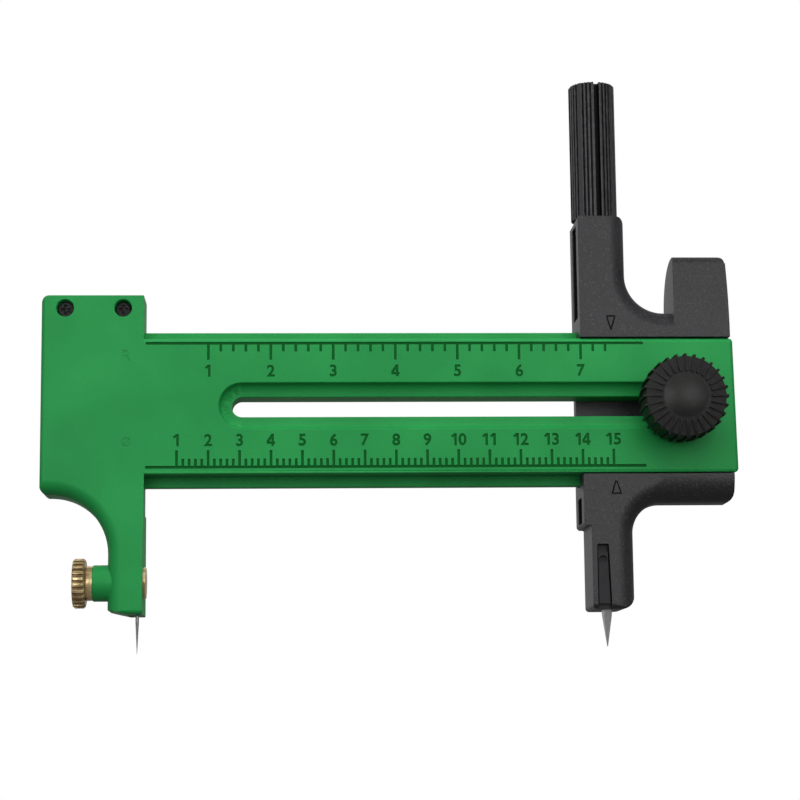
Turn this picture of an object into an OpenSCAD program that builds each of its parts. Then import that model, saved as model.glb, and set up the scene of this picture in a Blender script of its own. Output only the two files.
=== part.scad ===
// Compass cutter: a beam with a pivot needle at one end and a sliding blade
// carriage that a knob clamps at the radius read on the scale.
// Origin: the tip of the needle. X runs along the beam to the right, Y away
// from the front face, Z up.

/* [Reach] */
// Distance from needle to blade with the slide drawn right out
radius_max = 75; // [60:1:90]
// Distance from needle to blade with the slide pushed right in
radius_min = 5; // [5:0.5:15]
// Depth of the needle and the blade behind the front face
needle_depth = 3.5; // [3:0.1:4.5]
// Depth of the head, the foot and the slide from front to back
body_depth = 9.8; // [9:0.1:12]

/* [Beam] */
// Height of the scale plate
plate_h = 21.9; // [20:0.1:25]
// Thickness of the beam
beam_t = 7.2; // [6.8:0.1:7.5]
// Height of the beam's centre line above the needle tip
beam_z = 39.2; // [38:0.1:42]
// Length of the plate past the clamp bolt with the slide drawn right out
plate_tail = 9.5; // [9.5:0.1:14]
// Chamfer round the front of the plate
plate_chamfer = 0.5; // [0.3:0.1:0.8]
// Radius of the plate's free corners
plate_corner_r = 0.7; // [0.5:0.1:2]
// Distance that the guide rails stand out of the plate's edges
rail_out = 1.7; // [1.4:0.1:2]
// Depth of the rails behind the front face
rail_depth = 4.6; // [4:0.1:4.6]
// Thickness of the rails
rail_t = 2; // [1.6:0.1:2.2]
// Height of the slot that the clamp bolt runs in
slot_h = 3.2; // [3.2:0.1:4]
// Height of the slot's flared mouth at the front
mouth_h = 7.6; // [6:0.1:8]
// Depth of the flared mouth
mouth_depth = 2.8; // [2:0.1:3.5]

/* [Head] */
// Distance from the needle to the head's left side
head_left = 15.4; // [15.4:0.1:18]
// Distance from the needle to the right side of head and foot
head_right = 0.95; // [0.9:0.05:0.95]
// Height of the head above the beam's centre line
head_up = 18; // [17:0.25:20]
// Height of the head below the beam's centre line
head_down = 14; // [13.6:0.1:15]
// Radius of the head's outer corners
head_corner_r = 1.2; // [0.8:0.1:1.2]
// Radius of the hollow curve from head to foot
hollow_r = 9.5; // [8.5:0.1:9.5]
// Radius of the rounded front edge on the head's left side
head_round_r = 0.7; // [0.4:0.1:1]
// Radius of the rounded back edge of head, hollow and foot
head_back_r = 2; // [1:0.1:2.2]
// Wall of the hollow head
head_wall = 1.8; // [1.5:0.1:2.2]

/* [Head cover] */
// Distance of the cover's lower end below the head
cover_end_down = 2.9; // [2:0.1:4]
// Distance that the cover stands back from the head's right side
cover_inset = 0.25; // [0.1:0.05:0.3]
// Height of the rib that locates the cover in the head
cover_rib_h = 1.2; // [0.8:0.1:1.6]
// Thickness of the rib that locates the cover in the head
cover_rib_t = 1; // [0.8:0.1:1.4]
// Gap round the cover's rib
cover_gap = 0.1; // [0.05:0.05:0.2]
// Distance of the screws below the head's top
screw_down = 2.1; // [1.9:0.1:2.4]
// Distance of the left screw from the needle
screw_left = 11.65; // [11:0.05:12]
// Distance between the two screws
screw_pitch = 9.25; // [8:0.05:9.5]
// Width of the hole that sinks a screw head
sink_d = 2.8; // [2.6:0.1:3]
// Depth of a screw head's top below the front face
sink_depth = 1.4; // [1:0.1:2]
// Width of a screw head
screw_head_d = 2.4; // [2:0.1:2.4]
// Height of a screw head
screw_head_h = 1; // [0.8:0.1:1.4]
// Width of a screw's shank
screw_d = 1.5; // [1.2:0.1:1.6]
// Length of a screw's shank
screw_len = 6.6; // [5.6:0.1:6.6]
// Width of the driver slot in a screw head
driver_w = 0.4; // [0.3:0.1:0.5]
// Depth of the driver slot in a screw head
driver_depth = 0.45; // [0.3:0.05:0.6]

/* [Foot] */
// Distance from the needle to the foot's left side
foot_left = 4.6; // [4.2:0.1:4.6]
// Height of the foot's underside above the needle tip
foot_z = 6.1; // [5.5:0.1:6.5]
// Radius of the rounded front edge of foot and hollow
foot_round_r = 2.3; // [1:0.1:2.5]
// Radius of the rounded front edge under the foot
heel_round_r = 0.8; // [0.4:0.1:1]
// Height that the foot's underside rises to the left
heel_rise = 0.7; // [0.3:0.1:1]
// Width of the level part of the foot's underside
heel_flat = 2.3; // [2:0.1:3]
// Width of the notch where the needle leaves the foot
notch_w = 1.9; // [1.5:0.1:2.2]
// Height of the notch where the needle leaves the foot
notch_h = 0.8; // [0.5:0.1:1.2]

/* [Needle] */
// Thickness of the needle
needle_d = 0.56; // [0.5:0.02:0.7]
// Length of the needle's ground point
needle_point = 5; // [3:0.1:5.4]
// Length of the whole needle
needle_len = 15.5; // [14:0.5:17]
// Thickness of the needle's very tip
needle_tip_d = 0.06; // [0.04:0.01:0.1]

/* [Needle clamp] */
// Height of the clamp's axis above the needle tip
clamp_z = 11.2; // [11:0.1:11.6]
// Width of the round boss on the foot
boss_d = 5.8; // [5.6:0.1:6.2]
// Length of the round boss
boss_len = 2.4; // [2.2:0.1:4]
// Width of the brass bush's flange
bush_flange_d = 5.5; // [5:0.1:5.6]
// Thickness of the brass bush's flange
bush_flange_t = 1.1; // [0.6:0.1:1.4]
// Width of the brass bush's sleeve
bush_d = 3.6; // [3.4:0.1:4]
// Length of the brass bush's sleeve
bush_len = 2.2; // [1.8:0.1:2.4]
// Width of the draw bolt's shank
draw_d = 2.4; // [2.2:0.1:2.4]
// Width of the draw bolt's head
draw_head_d = 5; // [4.6:0.1:5.2]
// Thickness of the draw bolt's head
draw_head_t = 1.1; // [0.9:0.1:1.3]
// Distance that the draw bolt's head stands out of the foot
draw_proud = 0.45; // [0.3:0.05:0.5]
// Width of the knurled nut
nut_d = 7.9; // [7.4:0.1:8.4]
// Thickness of the knurled nut
nut_t = 2; // [1.8:0.1:3]
// Number of ridges round the nut
nut_ridges = 24; // [18:2:28]
// Width of a groove between two ridges
nut_groove_w = 0.5; // [0.4:0.05:0.6]
// Depth of a groove between two ridges
nut_groove_depth = 0.38; // [0.25:0.01:0.5]
// Chamfer on the nut's two rims
nut_chamfer = 0.3; // [0.2:0.05:0.4]

/* [Slide] */
// Distance from the blade to the slide's left side
slide_left = 3.75; // [3.7:0.05:3.75]
// Distance from the blade to the slide's right side
slide_right = 20.8; // [20:0.1:21]
// Distance from the blade to the clamp bolt
bolt_offset = 11.6; // [11.6:0.1:11.8]
// Distance from the blade to the right side of the upper arm
arm_right = 4.1; // [3.7:0.1:4.2]
// Height of the upper arm above the beam's centre line
arm_up = 31.3; // [30:0.1:33]
// Height of the thumb notch's floor above the beam's centre line
thumb_floor = 15.5; // [14.6:0.1:15.8]
// Radius of the thumb notch's corner
thumb_r = 6.2; // [4.5:0.1:6.4]
// Distance from the blade to the left side of the thumb block
thumb_left = 11.7; // [11:0.1:12]
// Height of the thumb block above the beam's centre line
thumb_up = 24.55; // [23:0.05:26]
// Distance that the thumb block's right side bows in at its top
thumb_lean = 0.95; // [0.2:0.05:1.2]
// Height of the lower web's underside below the beam's centre line
web_down = 15.7; // [15.4:0.1:16.8]
// Radius of the curve between lower web and leg
web_r = 4.9; // [4:0.1:5.2]
// Distance from the blade to the leg's left side
leg_left = 2.6; // [2.5:0.05:2.65]
// Distance from the blade to the leg's right side
leg_right = 4.4; // [4.2:0.1:4.6]
// Height of the leg's underside above the needle tip
leg_z = 6.4; // [6.3:0.1:7]
// Height of the step in the left side below the beam's centre line
step_down = 19.5; // [19:0.1:20]
// Radius of the small outer corners of the slide
slide_corner_r = 1.2; // [0.6:0.1:1.6]
// Radius of the rounded front edge of the upper arm and the thumb notch
arm_round_r = 3; // [1:0.1:3.2]
// Radius of the rounded front edge of the lower web and the leg
leg_round_r = 3.2; // [1.5:0.1:3.2]
// Radius of the rounded front edge under the leg
toe_round_r = 0.9; // [0.4:0.1:1]
// Radius of the rounded back edge of web and leg
web_back_r = 3.6; // [1.5:0.1:4]
// Radius of the thumb block's rounded top edges, front
thumb_front_r = 1.3; // [0.8:0.1:1.6]
// Radius of the thumb block's rounded top edge, back
thumb_back_r = 8.2; // [2:0.1:8.4]
// Gap between slide and beam
run_gap = 0.15; // [0.1:0.05:0.2]
// Width of the cored slits in the slide's left side
slit_w = 2.8; // [2:0.1:3]
// Depth of the slits' centre behind the front face
slit_depth = 4.3; // [4:0.1:4.6]
// Reach of the slits into the slide
slit_reach = 1.4; // [1:0.1:1.5]
// Height of the solid wall between a slit and the passage of the rails
slit_land = 2.1; // [1.6:0.1:2.6]

/* [Clamp knob] */
// Width of the clamp bolt's shank
clamp_bolt_d = 3; // [2.9:0.05:3.1]
// Width of the clamp bolt's hexagon head across its corners
clamp_head_d = 6.6; // [6.2:0.1:7]
// Thickness of the clamp bolt's head
clamp_head_t = 1.4; // [1.2:0.1:1.5]
// Depth of the clamp bolt's head below the slide's back
clamp_head_sunk = 0.15; // [0.1:0.05:0.2]
// Width of the washer under the knob
washer_d = 11; // [10:0.2:12]
// Thickness of the washer under the knob
washer_t = 0.7; // [0.5:0.1:1]
// Gap between washer and knob
knob_gap = 0.1; // [0.05:0.05:0.15]
// Radius of the knob's rim at the front
knob_rim_r = 6.35; // [6.2:0.05:7]
// Radius of the knob at its base
knob_base_r = 5.9; // [5.6:0.1:6.5]
// Height of the knob's rim above its base
knob_rim_h = 8.6; // [6:0.1:10]
// Radius of the knob's smooth crown
knob_crown_r = 3.75; // [3.4:0.05:4]
// Height of the sloping ring from rim to crown
knob_ring_h = 0.4; // [0.2:0.1:2]
// Height of the crown's dome
knob_dome_h = 0.8; // [0.5:0.1:1]
// Number of ribs on the knob
knob_ribs = 28; // [20:2:32]
// Width of a rib on the knob
knob_rib_w = 0.42; // [0.3:0.02:0.5]
// Height of a rib on the knob
knob_rib_h = 0.42; // [0.3:0.02:0.5]
// Distance from the knob's crown to the inner end of a rib
knob_rib_start = 0.2; // [0.1:0.05:0.4]
// Width of the brass insert in the knob
insert_d = 5.6; // [5.2:0.1:6]
// Length of the brass insert in the knob
insert_len = 4.6; // [4:0.1:5]
// Distance that the clamp bolt's tip stops short of the insert's end
tip_short = 0.4; // [0.3:0.1:0.6]
// Gap round the shank inside a nut or insert
thread_gap = 0.05; // [0.03:0.01:0.08]

/* [Grip] */
// Width of the fluted grip
grip_d = 7.6; // [7:0.1:8]
// Length of the fluted grip
grip_len = 23; // [20:0.1:26]
// Depth of the grip's axis behind the front face
grip_depth = 6; // [5.6:0.1:6]
// Distance of the grip's axis left of the blade
grip_shift = 0.15; // [0:0.05:0.2]
// Number of deep slots round the grip, each with ribs on both sides
grip_slots = 4; // [3:1:4]
// Angle that the front slot is turned to the right
grip_turned = 5.5; // [0:0.5:10]
// Width of a deep slot
grip_slot_w = 0.9; // [0.8:0.1:1]
// Depth of a deep slot
grip_slot_depth = 1.4; // [1.2:0.1:1.5]
// Number of fine grooves on each side of a deep slot
slot_grooves = 3; // [2:1:3]
// Angle from one fine groove to the next
groove_pitch = 10; // [9:0.5:10.5]
// Width of a fine groove
groove_w = 0.32; // [0.26:0.02:0.36]
// Depth of a fine groove
groove_depth = 0.4; // [0.3:0.05:0.5]
// Chamfer on the grip's top end
grip_chamfer = 0.2; // [0.1:0.1:0.6]
// Thickness of the washer under the grip
grip_washer_t = 0.3; // [0.2:0.05:0.4]
// Width of the washer under the grip
grip_washer_d = 5.6; // [5:0.2:6]
// Width of the screw that carries the grip
pivot_d = 2.5; // [2.2:0.1:2.6]
// Width of that screw's head
pivot_head_d = 4.4; // [4:0.1:4.6]
// Thickness of that screw's head
pivot_head_t = 1.6; // [1.2:0.1:1.8]
// Length of that screw inside the grip
pivot_in_grip = 11; // [8:0.5:14]
// Gap round the screw where the grip's screw turns in the arm
pivot_gap = 0.05; // [0.03:0.01:0.08]

/* [Blade] */
// Height of the blade's tip above the needle's tip
blade_z = 0.6; // [0.3:0.1:1]
// Width of the blade from left to right
blade_w = 1.6; // [1.2:0.1:1.8]
// Depth of the blade from front to back
blade_depth = 2.6; // [2:0.1:3]
// Length of the ground point
blade_point = 6.2; // [5:0.1:7]
// Length of the whole blade
blade_len = 14; // [12:0.5:15]
// Width of the tip
blade_tip = 0.12; // [0.08:0.02:0.2]
// Width of the bevel along each edge of the blade's front and back
blade_bevel = 0.45; // [0.3:0.05:0.5]

/* [Blade holder] */
// Width of the holder from left to right
holder_w = 4.2; // [3.8:0.1:4.4]
// Distance of the holder's left side from the blade
holder_left = 1.75; // [1.65:0.05:1.8]
// Depth of the holder's front behind the front face
holder_front = 1.1; // [1:0.1:1.3]
// Depth of the holder's back behind the front face
holder_back = 7; // [6.5:0.1:7.4]
// Height of the holder
holder_h = 11.2; // [10.5:0.1:12]
// Gap between the holder and its pocket
holder_gap = 0.1; // [0.05:0.05:0.15]
// Width of the window in the leg's front
window_w = 2.15; // [1.9:0.05:2.3]
// Amount by which the window is narrower at its top
window_taper = 0.35; // [0:0.05:0.4]
// Height of the window in the leg's front
window_h = 10.3; // [9.5:0.1:11]
// Height of the latch tongue in the window
tongue_h = 8.2; // [7.5:0.1:8.6]
// Distance of the tongue's lower end above the leg's underside
tongue_low = 0.85; // [0.5:0.05:1]
// Distance of the tongue's face behind the front face
tongue_sunk = 0.45; // [0.3:0.05:0.6]
// Gap on each side of the tongue
tongue_gap = 0.15; // [0.1:0.05:0.2]
// Width of the nail mark in the tongue
nail_d = 1.3; // [1:0.1:1.4]
// Depth of the nail mark in the tongue
nail_depth = 0.35; // [0.2:0.05:0.4]
// Angle that the nail mark is tilted, deepest at its top
nail_tilt = 20; // [0:1:25]
// Width of the peg that locates the blade in its holder
peg_d = 0.9; // [0.7:0.1:1]
// Length of that peg, from the holder's left side
peg_len = 3.4; // [3:0.1:3.8]
// Distance of that peg below the blade's upper end
peg_down = 2.4; // [2:0.1:3]

/* [Hidden] */

// Smoothness of curves
$fn = 64;
// Overrun that carries a cut clear of the surface it leaves
over = 0.5;
// Small gap between two pieces that are assembled, not run
seat_gap = 0.04;

// Number of flats that make up the thumb block's bowed side
bow_steps = 6;
// Place of the first fine groove beside a slot, past one pitch, in pitches
first_groove_share = 0.55;

green = [0.13, 0.55, 0.28];
charcoal = [0.2, 0.2, 0.21];
brass = [0.78, 0.63, 0.35];
steel = [0.72, 0.73, 0.74];

front_y = -needle_depth;
back_y = front_y + body_depth;
beam_back_y = front_y + beam_t;
travel = radius_max - radius_min;
bolt_x = radius_max + bolt_offset;
slot_start_x = bolt_x - travel;
plate_top = beam_z + plate_h / 2;
plate_end_x = bolt_x + plate_tail;
rail_top = plate_top + rail_out;
rail_bottom = 2 * beam_z - rail_top;
plate_bottom = 2 * beam_z - plate_top;
head_top = beam_z + head_up;
head_bottom = beam_z - head_down;
hollow_x = -foot_left - hollow_r;
hollow_z = head_bottom - hollow_r;
cover_end_z = head_bottom - cover_end_down;
peg_z = blade_z + blade_len - peg_down;
screw_z = head_top - screw_down;
screw_xs = [-screw_left, screw_pitch - screw_left];

// Extrudes a front view (x, z) between two depths
module along_y(y0, y1) {
    translate([0, y1, 0]) rotate([90, 0, 0]) linear_extrude(y1 - y0) children();
}

// Extrudes a side view (y, z) between two places along X
module along_x(x0, x1) {
    translate([x0, 0, 0]) rotate([90, 0, 90]) linear_extrude(x1 - x0) children();
}

// A cylinder whose axis runs along Y
module rod_y(d, y0, y1, x, z) {
    translate([x, y1, z]) rotate([90, 0, 0]) cylinder(d = d, h = y1 - y0);
}

// A cylinder whose axis runs along X
module rod_x(d, x0, x1, y, z) {
    translate([x0, y, z]) rotate([0, 90, 0]) cylinder(d = d, h = x1 - x0);
}

// What a round-over takes off a square corner at the origin, the body towards plus
module corner_waste(r) {
    difference() {
        translate([-over, -over]) square(r + over);
        translate([r, r]) circle(r);
    }
}

// The corner between two straight edges and the curve that replaces it: cut from an
// outline it rounds an outer corner, added it fills an inner one. sx and sz point
// from the corner to the curve's centre
module corner_patch(x, z, sx, sz, r) {
    translate([x, z]) scale([sx, sz]) corner_waste(r);
}

// Waste of a rounded front edge that runs up, body towards sx
module front_edge_up(x, z0, z1, sx, r) {
    translate([0, 0, z0]) linear_extrude(z1 - z0)
        translate([x, front_y]) scale([sx, 1]) corner_waste(r);
}

// Waste of a rounded front edge that runs across, body towards sz
module front_edge_across(x0, x1, z, sz, r) {
    along_x(x0, x1) translate([front_y, z]) scale([1, sz]) corner_waste(r);
}

// Waste of a rounded front edge round a hollow curve, from an angle on for 90 degrees
module front_edge_hollow(x, z, curve_r, from, r) {
    translate([x, 0, z]) rotate([90, 0, 0]) rotate([0, 0, from])
        rotate_extrude(angle = 90) translate([curve_r, -front_y]) scale([1, -1]) corner_waste(r);
}

// Outline of a long slot with round ends, its end centres at x0 and x1
module slot_outline(x0, x1, h) {
    for (x = [x0, x1]) translate([x, beam_z]) circle(d = h);
    translate([x0, beam_z - h / 2]) square([x1 - x0, h]);
}

// Side view of the beam: plate, chamfers and the two guide rails
module beam_section() {
    half = plate_h / 2;
    rail_half = half + rail_out;
    rail_y0 = front_y + rail_depth;
    rail_y1 = rail_y0 + rail_t;
    translate([0, beam_z]) polygon([
        [front_y, plate_chamfer - half], [front_y + plate_chamfer, -half], [rail_y0, -half],
        [rail_y0, -rail_half], [rail_y1, -rail_half], [rail_y1, -half], [beam_back_y, -half],
        [beam_back_y, half], [rail_y1, half], [rail_y1, rail_half], [rail_y0, rail_half],
        [rail_y0, half], [front_y + plate_chamfer, half], [front_y, half - plate_chamfer]]);
}

// Front view of the head and the foot
module head_outline() {
    difference() {
        union() {
            translate([-head_left, head_bottom])
                square([head_left + head_right, head_top - head_bottom]);
            translate([-foot_left, foot_z]) square([foot_left + head_right, head_bottom - foot_z + over]);
            corner_patch(-foot_left, head_bottom, -1, -1, hollow_r);
        }
        corner_patch(-head_left, head_top, 1, -1, head_corner_r);
        corner_patch(-head_left, head_bottom, 1, 1, head_corner_r);
    }
}

// Front view of the hollow inside the head, narrower by gap all round
module head_hollow(gap) {
    low = head_bottom + head_wall;
    high = screw_z - sink_d / 2 - head_wall / 2;
    translate([-head_left + head_wall + gap, low + gap])
        square([head_left + head_right - 2 * head_wall - 2 * gap, high - low - 2 * gap]);
}

// Mirrors a front edge to the back
module at_back() {
    translate([0, front_y + back_y, 0]) mirror([0, 1, 0]) children();
}

// The rounded edges that head, hollow curve and foot have at the front, and with another
// radius at the back
module head_edges(left_r, r) {
    front_edge_up(-head_left, head_bottom - over, head_top + over, 1, left_r);
    front_edge_across(-head_left - over, hollow_x, head_bottom, 1, r);
    front_edge_hollow(hollow_x, hollow_z, hollow_r, 0, r);
    front_edge_up(-foot_left, foot_z - over, hollow_z, 1, r);
}

// The green moulding before its bores: beam, head and foot with their rounded edges
module beam_moulding() {
    difference() {
        union() {
            along_x(0, plate_end_x) beam_section();
            along_y(front_y, beam_back_y) head_outline();
            along_y(beam_back_y - over, back_y) intersection() {
                head_outline();
                translate([-head_left, foot_z]) square([head_left + head_right, cover_end_z - foot_z]);
            }
        }
        // the plate's free end
        along_y(front_y - over, back_y) {
            corner_patch(plate_end_x, plate_top, -1, -1, plate_corner_r);
            corner_patch(plate_end_x, plate_bottom, -1, 1, plate_corner_r);
        }
        translate([plate_end_x, front_y, rail_bottom - over])
            linear_extrude(rail_top - rail_bottom + 2 * over) polygon([
                [-plate_chamfer - over, -over], [over, -over], [over, plate_chamfer + over]]);
        // the rounded edges of head, hollow curve and foot
        head_edges(head_round_r, foot_round_r);
        at_back() head_edges(head_back_r, head_back_r);
        front_edge_across(-foot_left - over, head_right + over, foot_z, 1, heel_round_r);
        // the underside rises to the left
        along_y(front_y - over, back_y + over) polygon([
            [-foot_left - over, foot_z - over], [head_right - heel_flat, foot_z - over],
            [head_right - heel_flat, foot_z], [-foot_left, foot_z + heel_rise],
            [-foot_left - over, foot_z + heel_rise]]);
    }
}

module beam_body() {
    color(green) difference() {
        union() {
            beam_moulding();
            rod_x(boss_d, -foot_left - boss_len, -foot_left + foot_round_r, 0, clamp_z);
        }
        // the slot that the clamp bolt runs in, and its flared mouth
        along_y(front_y - over, beam_back_y + over) slot_outline(slot_start_x, bolt_x, slot_h);
        slot_mouth();
        // the hollow head, closed by the cover
        along_y(front_y + head_wall, beam_back_y + over) head_hollow(0);
        for (x = screw_xs) {
            rod_y(sink_d, front_y - over, front_y + sink_depth + screw_head_h, x, screw_z);
            rod_y(screw_d + 2 * seat_gap, front_y, beam_back_y + over, x, screw_z);
        }
        // the needle's hole and the notch where it leaves the foot
        translate([0, 0, foot_z - over]) cylinder(d = needle_d + 2 * seat_gap, h = needle_len - foot_z + 2 * over);
        translate([needle_d - notch_w, -needle_d, foot_z - over]) cube([notch_w, 2 * needle_d, notch_h + over]);
        // the draw bolt's bore, its head's seat and the bush's seat
        rod_x(draw_d + 2 * seat_gap, -foot_left - boss_len - over, head_right + over, 0, clamp_z);
        rod_x(draw_head_d + 2 * seat_gap, head_right + draw_proud - draw_head_t, head_right + over, 0, clamp_z);
        rod_x(bush_d + 2 * seat_gap, -foot_left - boss_len - over, -foot_left - boss_len + bush_len, 0, clamp_z);
    }
}

// The mouth of the slot narrows evenly from mouth_h to slot_h
module slot_mouth() {
    grow = (mouth_h - slot_h) / 2;
    // the flare goes on at the same slope for the overrun in front of the face
    slope = grow / mouth_depth;
    r_in = slot_h / 2;
    r_out = mouth_h / 2 + slope * over;
    y_out = front_y - over;
    for (x = [slot_start_x, bolt_x])
        translate([x, front_y + mouth_depth, beam_z]) rotate([90, 0, 0])
            cylinder(r1 = r_in, r2 = r_out, h = mouth_depth + over);
    along_x(slot_start_x, bolt_x) translate([0, beam_z]) polygon([
        [y_out, -r_out], [front_y + mouth_depth, -r_in], [front_y + mouth_depth, r_in], [y_out, r_out]]);
}

module head_cover() {
    rib_y = beam_back_y - cover_rib_h;
    color(green) difference() {
        union() {
            along_y(beam_back_y, back_y) difference() {
                head_outline();
                // the cover ends above the foot, and stands back from the head's right side
                translate([-head_left, foot_z - over])
                    square([head_left + head_right + over, cover_end_z - foot_z + over + seat_gap]);
                translate([head_right - cover_inset, foot_z])
                    square([cover_inset + over, head_top - foot_z + over]);
            }
            along_y(rib_y, beam_back_y + over) difference() {
                head_hollow(cover_gap);
                head_hollow(cover_gap + cover_rib_t);
            }
        }
        at_back() head_edges(head_back_r, head_back_r);
        for (x = screw_xs)
            rod_y(screw_d + 2 * seat_gap, beam_back_y - over,
                  front_y + sink_depth + screw_head_h + screw_len + seat_gap, x, screw_z);
    }
}

module cover_screws() {
    head_y = front_y + sink_depth;
    color(charcoal) for (x = screw_xs) difference() {
        union() {
            rod_y(screw_head_d, head_y, head_y + screw_head_h, x, screw_z);
            rod_y(screw_d, head_y + screw_head_h - over, head_y + screw_head_h + screw_len, x, screw_z);
        }
        for (turn = [0, 90]) translate([x, head_y, screw_z]) rotate([0, turn, 0])
            cube([driver_w, 2 * driver_depth, screw_d], center = true);
    }
}

module pivot_needle() {
    color(steel) {
        cylinder(d1 = needle_tip_d, d2 = needle_d, h = needle_point);
        translate([0, 0, needle_point]) cylinder(d = needle_d, h = needle_len - needle_point);
    }
}

module needle_bolt() {
    head_x = head_right + draw_proud - draw_head_t;
    end_x = -foot_left - boss_len - bush_flange_t - nut_t;
    color(brass) difference() {
        union() {
            rod_x(draw_head_d, head_x, head_x + draw_head_t, 0, clamp_z);
            rod_x(draw_d, end_x + nut_chamfer, head_x + over, 0, clamp_z);
        }
        translate([0, 0, clamp_z - draw_head_d])
            cylinder(d = needle_d + 2 * seat_gap, h = 2 * draw_head_d);
    }
}

module clamp_bush() {
    flange_x = -foot_left - boss_len - bush_flange_t;
    color(brass) difference() {
        union() {
            rod_x(bush_flange_d, flange_x, flange_x + bush_flange_t, 0, clamp_z);
            rod_x(bush_d, flange_x + bush_flange_t / 2, flange_x + bush_flange_t + bush_len - seat_gap, 0, clamp_z);
        }
        rod_x(draw_d + 2 * seat_gap, flange_x - over, flange_x + bush_flange_t + bush_len + over, 0, clamp_z);
    }
}

module clamp_nut() {
    face_x = -foot_left - boss_len - bush_flange_t - seat_gap;
    r = nut_d / 2;
    color(brass) translate([face_x, 0, clamp_z]) rotate([0, -90, 0]) difference() {
        rotate_extrude() polygon([
            [draw_d / 2 + thread_gap, 0], [r - nut_chamfer, 0], [r, nut_chamfer],
            [r, nut_t - nut_chamfer], [r - nut_chamfer, nut_t], [draw_d / 2 + thread_gap, nut_t]]);
        for (i = [0 : nut_ridges - 1]) rotate([0, 0, i * 360 / nut_ridges])
            translate([r - nut_groove_depth, -nut_groove_w / 2, -over])
                cube([nut_groove_depth + over, nut_groove_w, nut_t + 2 * over]);
    }
}

// Front view of the slide without its two hollow curves: upper arm, thumb block, web and leg
module slide_outline() {
    left = radius_max - slide_left;
    right = radius_max + slide_right;
    arm = radius_max + arm_right;
    thumb = radius_max + thumb_left;
    leg_l = radius_max - leg_left;
    leg_r = radius_max + leg_right;
    web_z = beam_z - web_down;
    step_z = beam_z - step_down;
    arm_top = beam_z + arm_up;
    thumb_top = beam_z + thumb_up;
    floor_z = beam_z + thumb_floor;
    rise = thumb_top - plate_top;
    difference() {
        polygon(concat(
            [[left, arm_top], [arm, arm_top], [arm, floor_z], [thumb, floor_z], [thumb, thumb_top]],
            [for (i = [bow_steps : -1 : 0]) [right - thumb_lean * pow(i / bow_steps, 2), plate_top + rise * i / bow_steps]],
            [[right, web_z], [leg_r, web_z], [leg_r, leg_z], [leg_l, leg_z], [leg_l, step_z], [left, step_z]]));
        corner_patch(arm, arm_top, -1, -1, slide_corner_r);
        corner_patch(left, arm_top, 1, -1, slide_corner_r / 2);
        corner_patch(right - thumb_lean, thumb_top, -1, -1, slide_corner_r);
        corner_patch(right, web_z, -1, 1, slide_corner_r);
        corner_patch(leg_r, leg_z, -1, 1, 2 * slide_corner_r);
        corner_patch(leg_l, leg_z, 1, 1, slide_corner_r / 2);
        corner_patch(left, step_z, 1, 1, slide_corner_r / 2);
    }
}

// Side view of the passage that the beam runs through
module passage_section() {
    half = plate_h / 2 + run_gap;
    rail_half = half + rail_out;
    y0 = front_y - over;
    y1 = front_y + rail_depth - run_gap;
    y2 = y1 + rail_t + 2 * run_gap;
    y3 = beam_back_y + run_gap;
    translate([0, beam_z]) polygon([
        [y0, -half], [y1, -half], [y1, -rail_half], [y2, -rail_half], [y2, -half], [y3, -half],
        [y3, half], [y2, half], [y2, rail_half], [y1, rail_half], [y1, half], [y0, half]]);
}

// The rounded edges that the leg's right side, the hollow curve and the web have at the
// front, and with another radius at the back
module web_edges(r) {
    web_z = beam_z - web_down;
    front_edge_up(radius_max + leg_right, leg_z - over, web_z - web_r, -1, r);
    front_edge_hollow(radius_max + leg_right + web_r, web_z - web_r, web_r, 90, r);
    front_edge_across(radius_max + leg_right + web_r, radius_max + slide_right + over, web_z, 1, r);
}

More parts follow.
